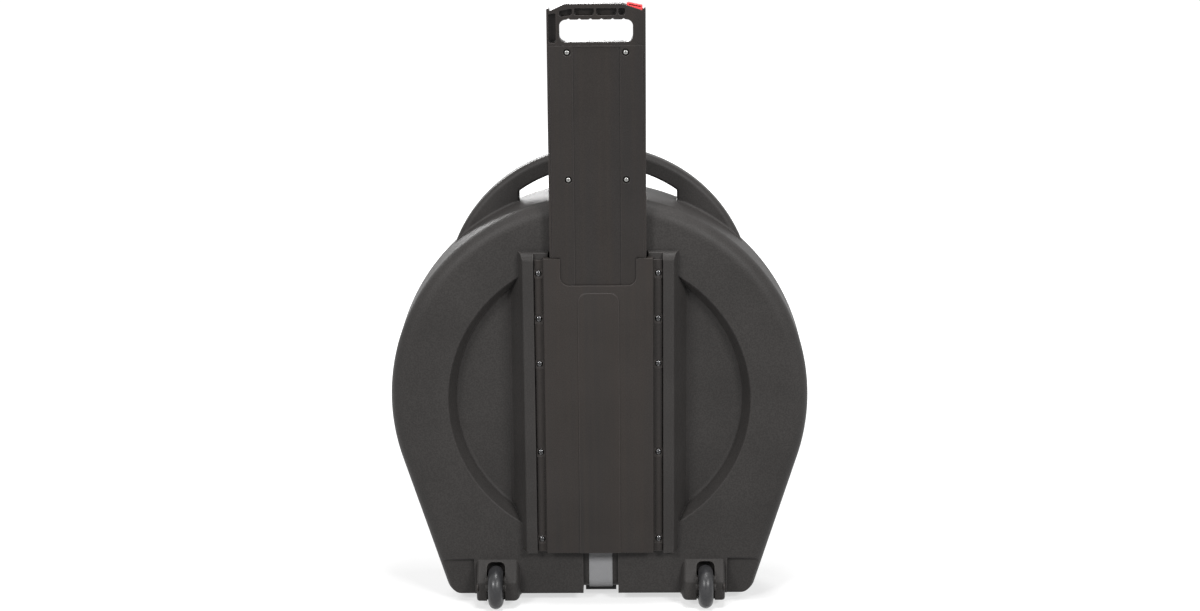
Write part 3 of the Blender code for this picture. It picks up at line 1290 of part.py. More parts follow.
def make_clamp():
    bore = POST_RADIUS + RUNNING_GAP
    clamp_axis = joint_axis("clamp_axis", (0, UPPER_FELT_BACK, CENTRE_Z))
    place = (0, UPPER_FELT_BACK, CENTRE_Z)
    felt = turned_ring("upper_felt", bore, FELT_RADIUS, 0, FELT_THICKNESS, place, (0, 1, 0), 20)
    piece(felt, FELT, clamp_axis)
    place = (0, WASHER_BACK, CENTRE_Z)
    washer = turned_ring("clamp_washer", bore, WASHER_RADIUS, 0, WASHER_THICKNESS, place, (0, 1, 0), 20)
    piece(washer, BRIGHT_STEEL, clamp_axis)
    nut_front = NUT_BACK + WING_NUT_HEIGHT
    nut = rod("wing_nut", (0, NUT_BACK, CENTRE_Z), (0, nut_front, CENTRE_Z), WING_NUT_RADIUS)
    for label, sign in sides():
        near, far = spans(sign, WING_NUT_RADIUS / 2, WING_SPAN_HALF)
        low = (near, NUT_BACK + WING_NUT_HEIGHT / 4, CENTRE_Z - WING_THICKNESS / 2)
        high = (far, nut_front + WING_RISE, CENTRE_Z + WING_THICKNESS / 2)
        join(nut, block("wing_" + label, low, high))
    start = (0, NUT_BACK - OVERCUT, CENTRE_Z)
    cut(nut, rod("nut_bore", start, (0, nut_front + OVERCUT, CENTRE_Z), POST_RADIUS + 2 * GAP))
    piece(nut, BRIGHT_STEEL, joint_axis("wing_nut_axis", (0, NUT_BACK, CENTRE_Z)))


def make_padding(lid_axis):
    outer = RECESS_RADIUS - PAD_MARGIN
    floor = RECESS_DEPTH + WALL + GAP
    place = (0, floor, CENTRE_Z)
    hole = FLANGE_RADIUS + PAD_HOLE_MARGIN
    pad = turned_ring("base_pad", hole, outer, 0, PAD_THICKNESS, place, (0, 1, 0), 40)
    piece(pad, FOAM)
    lid_floor = FACE_Y - LID_RECESS_DEPTH - WALL - GAP
    place = (0, lid_floor - PAD_THICKNESS, CENTRE_Z)
    lid_hole = WING_SPAN_HALF + PAD_HOLE_MARGIN
    lid_pad = turned_ring("lid_pad", lid_hole, outer, 0, PAD_THICKNESS, place, (0, 1, 0), 40)
    piece(lid_pad, FOAM, lid_axis)
    pad_outer = CASE_RADIUS - WALL - GAP
    pad_inner = pad_outer - WALL_PAD_THICKNESS
    top = math.acos((CHANNEL_HALF + WALL + 2 * GAP) / pad_inner)
    end_y = SEAM_Y - LIP_DEPTH - PAD_MARGIN / 10
    for label, sign in sides():
        outline = arc((0, CENTRE_Z), pad_outer, -SIDE_LEAN, top, 20)
        outline += arc((0, CENTRE_Z), pad_inner, top, -SIDE_LEAN, 20)
        outline = [(sign * x, z) for x, z in outline]
        piece(plate("wall_pad_" + label, [outline], "XZ", WALL_PAD_START, end_y), FOAM)


BUTTON_BACK = ROD_BACK - GAP
BUTTON_FRONT = HANDLE_COVER_BACK + 2 * GAP

clear_scene()
PIECES = make_collection("cymbal_case")
CUTTERS = make_collection("cutters")
FRAME = bpy.data.objects.new("case_frame", None)
FRAME.location = (0, -FRAME_SHIFT, 0)
PIECES.objects.link(FRAME)

SHELL_PLASTIC = make_material("shell_plastic", (0.036, 0.035, 0.035), 0.55)
HOUSING_PLASTIC = make_material("housing_plastic", (0.030, 0.028, 0.027), 0.42)
HANDLE_PLASTIC = make_material("handle_plastic", (0.028, 0.027, 0.026), 0.38)
RED_PLASTIC = make_material("red_plastic", (0.72, 0.03, 0.04), 0.35)
BLACK_STEEL = make_material("black_steel", (0.02, 0.02, 0.02), 0.3, 0.9)
BRIGHT_STEEL = make_material("bright_steel", (0.62, 0.62, 0.60), 0.3, 1.0)
TYRE_RUBBER = make_material("tyre_rubber", (0.035, 0.035, 0.037), 0.6)
WEBBING = make_material("webbing", (0.27, 0.27, 0.27), 0.85)
BUCKLE_PLASTIC = make_material("buckle_plastic", (0.022, 0.022, 0.022), 0.35)
PLYWOOD = make_material("plywood", (0.50, 0.34, 0.19), 0.7)
FELT = make_material("felt", (0.05, 0.05, 0.05), 0.95)
FOAM = make_material("foam", (0.06, 0.06, 0.065), 0.9)

CHANNEL = channel_tool("channel", 0, CHANNEL_HALF)
LID_AXIS = joint_axis("lid_axis", (0, SEAM_Y, CENTRE_Z))
HANDLE_AXIS = joint_axis("handle_axis", (0, (HANDLE_FRONT + HANDLE_BACK) / 2, HANDLE_BOTTOM))
RELEASE_AXIS = joint_axis("release_axis", (ROD_CENTRE, ROD_BACK, HANDLE_TOP))
BOLT_AXIS = joint_axis("bolt_axis", (BOLT_TIP, (BOLT_FRONT + BOLT_BACK) / 2, BOLT_Z))

make_base_shell()
make_arch()
make_lid_shell(LID_AXIS)
make_housing_cover()
make_housing_screws()
make_guide_tray()
make_handle_body(HANDLE_AXIS)
make_handle_cover(HANDLE_AXIS)
make_handle_screws(HANDLE_AXIS)
make_latch(RELEASE_AXIS, BOLT_AXIS, HANDLE_AXIS)
make_wheels()
make_feet()
make_straps(LID_AXIS)
make_buckle("top", TOP_Z - CHANNEL_DEPTH, 1, LID_AXIS)
make_buckle("bottom", GROUND_CLEARANCE + CHANNEL_DEPTH, -1, LID_AXIS)
make_centre_post()
make_clamp()
make_padding(LID_AXIS)
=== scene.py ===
import json
import math

import bmesh
import bpy
from mathutils import Matrix, Vector


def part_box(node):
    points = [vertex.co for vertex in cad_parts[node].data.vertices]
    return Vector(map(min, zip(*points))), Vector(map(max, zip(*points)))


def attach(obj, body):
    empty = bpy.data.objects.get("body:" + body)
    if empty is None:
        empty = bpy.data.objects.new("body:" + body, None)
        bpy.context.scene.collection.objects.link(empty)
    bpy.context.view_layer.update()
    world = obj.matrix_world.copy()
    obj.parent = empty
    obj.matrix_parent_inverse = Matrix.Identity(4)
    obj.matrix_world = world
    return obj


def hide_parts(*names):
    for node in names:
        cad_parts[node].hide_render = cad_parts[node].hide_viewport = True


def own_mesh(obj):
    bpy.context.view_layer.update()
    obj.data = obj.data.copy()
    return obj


# The rolling cymbal case as it is seen: finer shells, fittings, padding and finishes around the packed
# frame. Metres, +Z up. The pull handle and the wheels face -Y, and the lid faces +Y.
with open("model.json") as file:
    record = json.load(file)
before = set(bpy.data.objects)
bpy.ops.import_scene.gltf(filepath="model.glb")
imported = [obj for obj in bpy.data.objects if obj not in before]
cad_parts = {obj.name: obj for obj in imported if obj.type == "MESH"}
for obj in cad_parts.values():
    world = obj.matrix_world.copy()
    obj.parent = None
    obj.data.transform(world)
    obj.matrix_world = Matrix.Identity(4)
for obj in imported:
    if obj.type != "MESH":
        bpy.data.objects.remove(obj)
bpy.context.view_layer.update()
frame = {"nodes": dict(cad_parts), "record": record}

# Camera, fitted to the photograph: it looks at a point on the back face
LENS = 69.78
SENSOR_WIDTH = 36
VIEW_PITCH = math.radians(15.5)
VIEW_YAW = math.radians(0.62)
VIEW_ROLL = math.radians(-0.48)
VIEW_DISTANCE = 3.666
AIM_X = 0.00235
AIM_Z = 0.503

# Light: the camera sees a white floor and sky, which light the case less than they show
SKY_LEVEL = 0.10
FLOOR_HALF = 30
FLOOR_COLOUR = (0.42, 0.42, 0.42)
FLOOR_GLOW = 0.62
GLOW_START = 0.5
GLOW_END = 2.2

# Each lamp's name, place, aim, width, height and watts
LAMPS = [
    ("top_lamp", (0.25, -0.25, 3.2), (0, 0, 0.45), 1.2, 0.7, 58),
    ("right_lamp", (2.1, -2.8, 2.4), (0, 0, 0.35), 1.0, 0.9, 98),
    ("left_lamp", (-2.1, -2.8, 2.4), (0, 0, 0.35), 1.0, 0.9, 86),
    ("back_lamp", (-0.9, 3.3, 1.9), (0, 0, 0.4), 1.8, 1.0, 100),
]


class Wire:
    """One socket of a node, which takes part in sums as a number does."""

    def __init__(self, nodes, socket):
        self.nodes = nodes
        self.socket = socket

    def sum(self, operation, *values):
        return self.nodes.node("Math", {"operation": operation}, dict(enumerate(values)))

    def __abs__(self):
        return self.sum("ABSOLUTE", self)

    def __add__(self, other):
        return self.sum("ADD", self, other)

    def __sub__(self, other):
        return self.sum("SUBTRACT", self, other)

    def __mul__(self, other):
        return self.sum("MULTIPLY", self, other)

    def __rtruediv__(self, other):
        return self.sum("DIVIDE", other, self)

    def __truediv__(self, other):
        return self.sum("DIVIDE", self, other)

    def __pow__(self, other):
        return self.sum("POWER", self, other)

    def __rsub__(self, other):
        return self.sum("SUBTRACT", other, self)

    __radd__ = __add__
    __rmul__ = __mul__


class Nodes:
    """A tree of shader nodes."""

    def __init__(self, tree):
        self.tree = tree

    def node(self, kind, settings=(), sockets=(), output=0):
        made = self.tree.nodes.new("ShaderNode" + kind)
        for name, value in dict(settings).items():
            setattr(made, name, value)
        for name, value in dict(sockets).items():
            self.feed(made.inputs[name], value)
        return Wire(self, made.outputs[output])

    def feed(self, socket, value):
        if isinstance(value, Wire):
            self.tree.links.new(value.socket, socket)
        else:
            socket.default_value = value


class Finish(Nodes):
    """A material. Its pattern keeps to the piece, in metres."""

    def __init__(self, name, roughness=0.5, metallic=0.0, **constants):
        self.material = bpy.data.materials.new(name)
        self.material.use_nodes = True
        super().__init__(self.material.node_tree)
        self.shader = self.tree.nodes["Principled BSDF"]
        self.set("Roughness", roughness)
        self.set("Metallic", metallic)
        for socket, value in constants.items():
            self.set(socket.replace("_", " ").title().replace("Ior", "IOR"), value)
        self.place = self.node("TexCoord", output="Object")

    def set(self, socket, value):
        self.feed(self.shader.inputs[socket], value)

    def stretched(self, scale):
        return self.node("Mapping", {}, {"Vector": self.place, "Scale": scale})

    def noise(self, scale, detail=3.0, stretch=(1, 1, 1), roughness=0.5):
        place = self.stretched(stretch)
        sockets = {"Vector": place, "Scale": scale, "Detail": detail, "Roughness": roughness}
        return self.node("TexNoise", {}, sockets)

    def cells(self, scale, stretch=(1, 1, 1)):
        return self.node("TexVoronoi", {}, {"Vector": self.stretched(stretch), "Scale": scale})

    def along(self, axis):
        return self.node("SeparateXYZ", {}, {0: self.place}, axis)

    def step(self, value, low, high):
        sockets = {"Value": value, "From Min": low, "From Max": high}
        return self.node("MapRange", {"interpolation_type": "SMOOTHSTEP"}, sockets)

    def zigzag(self, value):
        """From 0 to 1 and back with each whole step of a value."""
        return self.node("Math", {"operation": "PINGPONG"}, {0: value, 1: 0.5}) * 2

    def blend(self, share, first, second):
        sockets = {0: share, 6: opaque(first), 7: opaque(second)}
        return self.node("Mix", {"data_type": "RGBA"}, sockets, 2)

    def scaled(self, colour, factor):
        return self.node("VectorMath", {"operation": "SCALE"}, {0: colour, "Scale": factor})

    def closeness(self, reach, **settings):
        """How much of what surrounds a point lies within reach, from 0 to 1."""
        settings = {"samples": 6, "only_local": True, **settings}
        return 1 - self.node("AmbientOcclusion", settings, {"Distance": reach}, "AO")

    def hollows(self, reach):
        return self.step(self.closeness(reach), 0.10, 0.75)

    def edges(self, reach):
        return self.step(self.closeness(reach, inside=True), 0.04, 0.40)

    def done(self, colour, height, depth, roughness=None, **normal):
        """The material with its colour, its roughness and bumps of a real depth in metres."""
        self.set("Base Color", colour)
        if roughness is not None:
            self.set("Roughness", roughness)
        sockets = {"Height": height, "Distance": depth, "Strength": 1.0, **normal}
        self.set("Normal", self.node("Bump", {}, sockets))
        return self.material


def opaque(colour):
    return colour if isinstance(colour, Wire) else (*colour, 1)


def lighter(colour, factor):
    return tuple(min(channel * factor, 1) for channel in colour)


# Finishes
def moulded_plastic(name, colour, roughness, grain, depth, streaks=0.0, edge=0.0012, reach=0.007):
    """Grained plastic, streaked along Z where parts slide, with painted shade in hollows and painted
    highlights on edges.
    """
    # Strength of the painted shade in hollows, and share and paleness of the painted edge highlights
    hollow_shade = 0.72
    edge_highlight_share = 0.75
    edge_highlight_gain = 2.8
    edge_round = 1.8 * edge
    finish = Finish(name, specular_ior_level=0.16)
    patches = finish.noise(9, 4)
    tone = finish.blend(finish.step(patches, 0.3, 0.7), lighter(colour, 0.90), lighter(colour, 1.10))
    dust = finish.step(finish.noise(420, 2), 0.66, 0.74) * 0.35
    tone = finish.blend(dust, tone, lighter(colour, 1.5))
    shine = finish.noise(35, 5) * 0.10 + (roughness - 0.05)
    if streaks:
        lines = finish.step(finish.noise(95, 3, (1, 1, 0.018)), 0.42, 0.68)
        warmth = (1.30, 1.16, 1.02)
        warm = tuple(channel * factor for channel, factor in zip(colour, warmth))
        broad = finish.step(finish.noise(22, 2, (1, 1, 0.10)), 0.40, 0.66)
        tone = finish.blend(lines * streaks, tone, lighter(warm, 1.15))
        tone = finish.blend(broad * streaks, tone, warm)
        shine = shine - lines * 0.05 * streaks
    speckle = finish.step(finish.noise(0.9 / grain, 2), 0.35, 0.65)
    # Painted shade: the tone darkens in the piece's own hollows, grooves and corners, where shade would fall
    tone = finish.scaled(tone, (speckle * 0.26 + 0.87) * (1 - finish.hollows(reach) * hollow_shade))
    # Painted highlight: the tone turns paler along the piece's outer edges, where light would catch them
    tone = finish.blend(finish.edges(edge) * edge_highlight_share, tone, lighter(colour, edge_highlight_gain))
    height = finish.cells(1 / grain) * 0.6 + finish.noise(0.7 / grain, 2) * 0.4
    normal = finish.node("Bevel", {"samples": 8}, {"Radius": edge_round})
    return finish.done(tone, height, depth, shine, Normal=normal)


def red_plastic():
    finish = Finish("red_plastic")
    patches = finish.noise(140, 3)
    tone = finish.blend(patches, (0.86, 0.052, 0.058), (1.0, 0.076, 0.082))
    # Painted shade: the red darkens in the slot and other hollows of the cap
    tone = finish.scaled(tone, 1 - finish.hollows(0.003) * 0.85)
    return finish.done(tone, finish.noise(1400, 2), 0.00002, patches * 0.14 + 0.30)


def steel(name, colour, roughness, brushed=1.0):
    """Turned or rolled steel: fine lines, faint stains and painted shade at the bottom of each hollow."""
    finish = Finish(name, metallic=1.0)
    stains = finish.noise(260, 4)
    lines = finish.noise(2600, 2, (1, 1, 0.06))
    tone = finish.blend(stains, lighter(colour, 0.82), lighter(colour, 1.10))
    # Painted shade: the steel darkens in its hollows, such as the screws' cross recesses
    tone = finish.scaled(tone, 1 - finish.hollows(0.003) * 0.8)
    shine = lines * 0.16 * brushed + stains * 0.10 + (roughness - 0.12)
    return finish.done(tone, lines, 0.000006 * brushed, shine)


def tyre_rubber():
    finish = Finish("tyre_rubber", specular_ior_level=0.40)
    dust = finish.step(finish.noise(60, 5), 0.45, 0.75)
    specks = finish.step(finish.noise(900, 2), 0.60, 0.70)
    tone = finish.blend(dust * 0.6, (0.024, 0.024, 0.026), (0.040, 0.039, 0.040))
    tone = finish.blend(specks * 0.25, tone, (0.13, 0.13, 0.13))
    return finish.done(tone, finish.noise(1100, 3), 0.00007, dust * 0.22 + 0.30)


def webbing():
    """Grey woven webbing: slanted ribs in a herringbone, threads along them and a closer edge."""
    sheen = {"sheen_weight": 0.25, "sheen_roughness": 0.5}
    finish = Finish("webbing", roughness=0.85, specular_ior_level=0.25, **sheen)
    run = finish.along("Z") - finish.along("Y")
    side = abs(finish.along("X"))
    rib_pitch = 0.0022
    thread_pitch = 0.35 * rib_pitch
    edge_pitch = 0.6 * rib_pitch
    rib = finish.zigzag((side + run) / rib_pitch)
    thread = finish.zigzag((run - side) / thread_pitch)
    border = finish.step(side, 0.0158, 0.0164)
    edge_rib = finish.zigzag(run / edge_pitch)
    height = (rib * 0.75 + thread * 0.25) * (1 - border) + edge_rib * border
    fluff = finish.noise(1500, 3)
    wear = finish.noise(45, 3)
    tone = finish.blend(finish.step(height, 0.15, 0.75), (0.160, 0.163, 0.168), (0.320, 0.320, 0.327))
    tone = finish.blend(fluff * 0.35, tone, (0.40, 0.40, 0.41))
    tone = finish.blend(wear * 0.35, tone, (0.20, 0.20, 0.205))
    return finish.done(tone, height + fluff * 0.3, 0.00035)


def plywood():
    """Birch plywood: pale veneer with long grain, and the plies' dark lines on the cut edges."""
    finish = Finish("plywood", specular_ior_level=0.30)
    face = finish.node("NewGeometry", output="Normal")
    outward = abs(finish.node("SeparateXYZ", {}, {0: face}, "Y"))
    rings = finish.noise(30, 5, (1, 1, 0.05))
    pores = finish.noise(700, 2, (1, 1, 0.04))
    veneer = finish.blend(finish.step(rings, 0.3, 0.7), (0.42, 0.27, 0.14), (0.60, 0.43, 0.25))
    ply_pair = 0.0024
    ply = finish.zigzag(finish.along("Y") / ply_pair)
    layers = finish.blend(finish.step(ply, 0.25, 0.75), (0.22, 0.13, 0.065), (0.52, 0.36, 0.20))
    tone = finish.blend(finish.step(outward, 0.4, 0.6), layers, veneer)
    tone = finish.blend(finish.step(pores, 0.60, 0.72) * 0.4, tone, (0.24, 0.14, 0.07))
    return finish.done(tone, pores, 0.00010, rings * 0.2 + 0.50)


def felt():
    sheen = {"sheen_weight": 0.6, "sheen_roughness": 0.6}
    finish = Finish("felt", roughness=0.95, specular_ior_level=0.15, **sheen)
    fibres = finish.noise(1100, 5, (1, 1, 1), 0.75)
    clumps = finish.noise(220, 3)
    tone = finish.blend(fibres, (0.022, 0.022, 0.023), (0.085, 0.085, 0.088))
    tone = finish.blend(clumps * 0.4, tone, (0.050, 0.050, 0.053))
    return finish.done(tone, fibres * 0.7 + clumps * 0.3, 0.0005)


def lining_cloth():
    """The knitted face of the foam padding."""
    sheen = {"sheen_weight": 0.45, "sheen_roughness": 0.5}
    finish = Finish("lining_cloth", roughness=0.92, specular_ior_level=0.2, **sheen)
    knit = finish.cells(620, (1, 0.7, 1.25))
    pile = finish.noise(900, 4)
    folds = finish.noise(26, 3)
    tone = finish.blend(finish.step(knit, 0.15, 0.7), (0.062, 0.062, 0.068), (0.026, 0.026, 0.029))
    tone = finish.blend(folds * 0.35, tone, (0.075, 0.075, 0.080))
    return finish.done(tone, (1 - knit) * 0.6 + pile * 0.4, 0.0004)


FINISHES = {
    "shell_plastic": moulded_plastic("shell_plastic", (0.0340, 0.0317, 0.0305), 0.50, 0.0019, 0.00016),
    "housing_plastic": moulded_plastic(
        "housing_plastic", (0.0278, 0.0247, 0.0234), 0.42, 0.0012, 0.00003, streaks=0.22
    ),
    # The handle's longer reach spreads the painted shade deeper into its grip pockets
    "handle_plastic": moulded_plastic(
        "handle_plastic", (0.0228, 0.0204, 0.0195), 0.40, 0.0012, 0.00003, streaks=0.25, reach=0.011
    ),
    "buckle_plastic": moulded_plastic(
        "buckle_plastic", (0.024, 0.024, 0.024), 0.34, 0.0006, 0.00001, edge=0.0008
    ),
    "red_plastic": red_plastic(),
    "black_steel": steel("black_steel", (0.11, 0.11, 0.112), 0.16, 0.3),
    "bright_steel": steel("bright_steel", (0.31, 0.31, 0.30), 0.26),
    "tyre_rubber": tyre_rubber(),
    "webbing": webbing(),
    "plywood": plywood(),
    "felt": felt(),
    "foam": lining_cloth(),
}

# The case's own sizes, as the frame has them
CASE_DEPTH = 0.150
BACK_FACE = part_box("lid_shell")[1].y - CASE_DEPTH


# Camera, light, floor
def make_camera():
    camera = bpy.data.objects.new("camera", bpy.data.cameras.new("camera"))
    camera.data.sensor_width = SENSOR_WIDTH
    camera.data.lens = LENS
    turn = Matrix.Rotation(VIEW_YAW, 4, "Z") @ Matrix.Rotation(math.pi / 2 - VIEW_PITCH, 4, "X")
    turn = turn @ Matrix.Rotation(VIEW_ROLL, 4, "Z")
    aim = Vector((AIM_X, BACK_FACE, AIM_Z))
    camera.matrix_world = Matrix.Translation(aim + turn.to_3x3() @ Vector((0, 0, VIEW_DISTANCE))) @ turn
    bpy.context.scene.collection.objects.link(camera)
    bpy.context.scene.camera = camera


def make_lamp(name, place, aim, width, height, power):
    data = bpy.data.lights.new(name, "AREA")
    data.shape = "RECTANGLE"
    data.size = width
    data.size_y = height
    data.energy = power
    lamp = bpy.data.objects.new(name, data)
    facing = Vector(aim) - Vector(place)
    lamp.matrix_world = Matrix.Translation(place) @ facing.to_track_quat("-Z", "Y").to_matrix().to_4x4()
    bpy.context.scene.collection.objects.link(lamp)


def make_sky():
    """A plain white sky. The camera and shiny surfaces see it white, and it lights the rest less."""
    world = bpy.data.worlds.new("studio")
    world.use_nodes = True
    sky = Nodes(world.node_tree)
    rays = sky.tree.nodes.new("ShaderNodeLightPath")
    names = ("Is Camera Ray", "Is Glossy Ray", "Is Transmission Ray")
    camera, glossy, transmission = (Wire(sky, rays.outputs[name]) for name in names)
    seen = sky.node("Math", {"operation": "MAXIMUM"}, {0: glossy, 1: transmission})
    seen = sky.node("Math", {"operation": "MAXIMUM"}, {0: camera, 1: seen})
    background = sky.tree.nodes["Background"]
    background.inputs["Color"].default_value = (1, 1, 1, 1)
    level = sky.node("MapRange", {}, {"Value": seen, "To Min": SKY_LEVEL})
    sky.feed(background.inputs["Strength"], level)
    bpy.context.scene.world = world


def make_floor():
    """A plain pale floor. It adds a little white for the camera alone, and keeps the shadow."""
    shape = bmesh.new()
    bmesh.ops.create_grid(shape, x_segments=2, y_segments=2, size=FLOOR_HALF)
    mesh = bpy.data.meshes.new("floor")
    shape.to_mesh(mesh)
    shape.free()
    floor = bpy.data.objects.new("floor", mesh)
    finish = Finish("floor", roughness=0.9, specular_ior_level=0.0)
    finish.set("Base Color", (*FLOOR_COLOUR, 1))
    camera, glossy = (finish.node("LightPath", output=ray) for ray in ("Is Camera Ray", "Is Glossy Ray"))
    distance = (finish.along("X") ** 2 + finish.along("Y") ** 2) ** 0.5
    glow = finish.blend(finish.step(distance, GLOW_START, GLOW_END), (FLOOR_GLOW,) * 3, (1, 1, 1))
    finish.set("Emission Color", finish.blend(camera + glossy, (0, 0, 0), glow))
    finish.set("Emission Strength", 1.0)
    mesh.materials.append(finish.material)
    bpy.context.scene.collection.objects.link(floor)


bpy.context.scene.view_settings.view_transform = "Standard"
make_camera()
make_sky()
make_floor()
for lamp_values in LAMPS:
    make_lamp(*lamp_values)


def add_bevel(made, width, segments, angle=40):
    bevel = made.modifiers.new("edge", "BEVEL")
    bevel.width = width
    bevel.segments = segments
    bevel.limit_method = "ANGLE"
    bevel.angle_limit = math.radians(angle)
    return bevel


# The frame's nodes keep their vertices, and get their finish and a small mould radius
def finish_nodes(edge):
    for subpart in frame["record"]["subparts"]:
        node = frame["nodes"][subpart["node"]]
        node.data.materials.clear()
        node.data.materials.append(FINISHES[subpart["material_slot"]])
        node.data.shade_smooth()
        node.modifiers.new("weld", "WELD").merge_threshold = 0.000001
        add_bevel(node, edge, 2)
        node.modifiers.new("normals", "WEIGHTED_NORMAL").keep_sharp = True


finish_nodes(0.0004)

# Sizes of the case, in metres. Depths count from the ring-shaped back face, as in the frame's record.
CASE_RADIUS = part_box("base_shell")[1].x
CORNER_RADIUS = 0.022
SIDE_LEAN = math.radians(17.3)
CENTRE_Z = 0.344
TOP_Z = CENTRE_Z + CASE_RADIUS
GROUND = 0.0135
SEAM_Y = 0.104
FACE_Y = CASE_DEPTH
WALL = 0.004
GAP = 0.0003
BEYOND = 0.010
EDGE_RADIUS = 0.024
BOTTOM_EDGE_RADIUS = 0.008
LID_INSET = 0.004
RECESS_RADIUS = 0.240
RECESS_DEPTH = 0.025
CHANNEL_HALF = 0.0285
CHANNEL_DEPTH = 0.008
CHANNEL_RADIUS = 0.016
LID_CHANNEL_DEPTH = 0.004
LID_LIP = 0.010
LID_RECESS_DEPTH = 0.008
LID_RECESS_DRAFT = 0.004
RECESS_DRAFT = 0.009

# How finely round shapes are cut
ARC_STEPS = 64
EDGE_STEPS = 10
RING_STEPS = 160
CORNER_STEPS = 8
SMALL_STEPS = 36

TOOLS = []


# Shapes
def add_object(name, mesh):
    made = bpy.data.objects.new(name, mesh)
    bpy.context.scene.collection.objects.link(made)
    TOOLS.append(made)
    return made


def object_from_bmesh(name, shape):
    bmesh.ops.recalc_face_normals(shape, faces=shape.faces)
    mesh = bpy.data.meshes.new(name)
    shape.to_mesh(mesh)
    shape.free()
    return add_object(name, mesh)


def block(name, low, high):
    shape = bmesh.new()
    bmesh.ops.create_cube(shape, size=1)
    bmesh.ops.scale(shape, vec=[high[i] - low[i] for i in range(3)], verts=shape.verts)
    bmesh.ops.translate(shape, vec=[(high[i] + low[i]) / 2 for i in range(3)], verts=shape.verts)
    return object_from_bmesh(name, shape)


def turned(name, profile, centre, direction, steps=SMALL_STEPS, closed=False):
    """A turned shape. The profile lists (radius, height), with height along direction."""
    turn = Vector((0, 0, 1)).rotation_difference(Vector(direction)).to_matrix().to_4x4()
    place = Matrix.Translation(centre) @ turn
    shape = bmesh.new()
    rings = []
    for radius, height in profile:
        if radius == 0:
            rings.append([shape.verts.new(place @ Vector((0, 0, height)))] * steps)
            continue
        angles = [2 * math.pi * step / steps for step in range(steps)]
        points = [Vector((radius * math.cos(a), radius * math.sin(a), height)) for a in angles]
        rings.append([shape.verts.new(place @ point) for point in points])
    pairs = list(zip(rings, rings[1:]))
    if closed:
        pairs.append((rings[-1], rings[0]))
    for first, second in pairs:
        for index in range(steps):
            after = (index + 1) % steps
            corners = dict.fromkeys((first[index], first[after], second[after], second[index]))
            shape.faces.new(list(corners))
    return object_from_bmesh(name, shape)


# How an outline's own x, y and thickness turn into the world's X, Y and Z
PLANES = {
    "XZ": Matrix(((1, 0, 0, 0), (0, 0, -1, 0), (0, 1, 0, 0), (0, 0, 0, 1))),
    "YZ": Matrix(((0, 0, 1, 0), (1, 0, 0, 0), (0, 1, 0, 0), (0, 0, 0, 1))),
    "XY": Matrix.Identity(4),
}


def plate(name, outlines, plane, near, far):
    """A flat plate between two depths. Its first outline is the outside, and the others are holes."""
    curve = bpy.data.curves.new(name, "CURVE")
    curve.dimensions = "2D"
    curve.fill_mode = "BOTH"
    curve.extrude = abs(far - near) / 2
    for outline in outlines:
        spline = curve.splines.new("POLY")
        spline.points.add(len(outline) - 1)
        for point, place in zip(spline.points, outline):
            point.co = (place[0], place[1], 0, 1)
        spline.use_cyclic_u = True
    guide = bpy.data.objects.new(name + "_outline", curve)
    bpy.context.scene.collection.objects.link(guide)
    bpy.context.view_layer.update()
    mesh = bpy.data.meshes.new_from_object(guide.evaluated_get(bpy.context.evaluated_depsgraph_get()))
    bpy.data.objects.remove(guide)
    sign = -1 if plane == "XZ" else 1
    mesh.transform(PLANES[plane] @ Matrix.Translation((0, 0, sign * (near + far) / 2)))
    shape = bmesh.new()
    shape.from_mesh(mesh)
    bmesh.ops.remove_doubles(shape, verts=shape.verts, dist=0.000001)
    bmesh.ops.dissolve_limit(shape, angle_limit=0.001, verts=shape.verts, edges=shape.edges)
    return object_from_bmesh(name, shape)


def loft(name, rings):
    """A closed solid through rings of points, one after the other, with flat ends."""
    shape = bmesh.new()
    loops = [[shape.verts.new(point) for point in ring] for ring in rings]
    for first, second in zip(loops, loops[1:]):
        for index in range(len(first)):
            after = (index + 1) % len(first)
            shape.faces.new((first[index], first[after], second[after], second[index]))
    shape.faces.new(loops[0])
    shape.faces.new(loops[-1])
    return object_from_bmesh(name, shape)


def boolean(target, operation, tools):
    for tool in tools:
        modifier = target.modifiers.new(tool.name, "BOOLEAN")
        modifier.operation = operation
        modifier.solver = "EXACT"
        modifier.object = tool
    return target


def cut(target, *tools):
    return boolean(target, "DIFFERENCE", tools)


def join(target, *tools):
    return boolean(target, "UNION", tools)


def round_edges(made, width, segments=2, angle=40):
    bevel = add_bevel(made, width, segments, angle)
    bevel.use_clamp_overlap = False
    bevel.miter_outer = "MITER_ARC"
    return made


def settle(made, body, slot, *nodes, edge=0.0):
    """Works out a piece's shape, gives it its finish and its body, and hides the frame's nodes that it
    stands for.
    """
    name = made.name
    if edge:
        made.modifiers.new("weld", "WELD").merge_threshold = 0.00001
        made.modifiers.new("split", "TRIANGULATE").min_vertices = 5
        round_edges(made, edge)
    bpy.context.view_layer.update()
    mesh = bpy.data.meshes.new_from_object(made.evaluated_get(bpy.context.evaluated_depsgraph_get()))
    mesh.transform(Matrix.Translation((0, BACK_FACE, 0)))
    for tool in TOOLS:
        bpy.data.objects.remove(tool)
    TOOLS.clear()
    mesh.materials.clear()
    mesh.materials.append(FINISHES[slot])
    mesh.polygons.foreach_set("material_index", [0] * len(mesh.polygons))
    mesh.shade_smooth()
    if not edge:
        mesh.set_sharp_from_angle(angle=math.radians(32))
    placed = bpy.data.objects.new(name, mesh)
    bpy.context.scene.collection.objects.link(placed)
    placed.modifiers.new("normals", "WEIGHTED_NORMAL").keep_sharp = True
    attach(placed, body)
    if nodes:
        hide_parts(*nodes)
    return placed


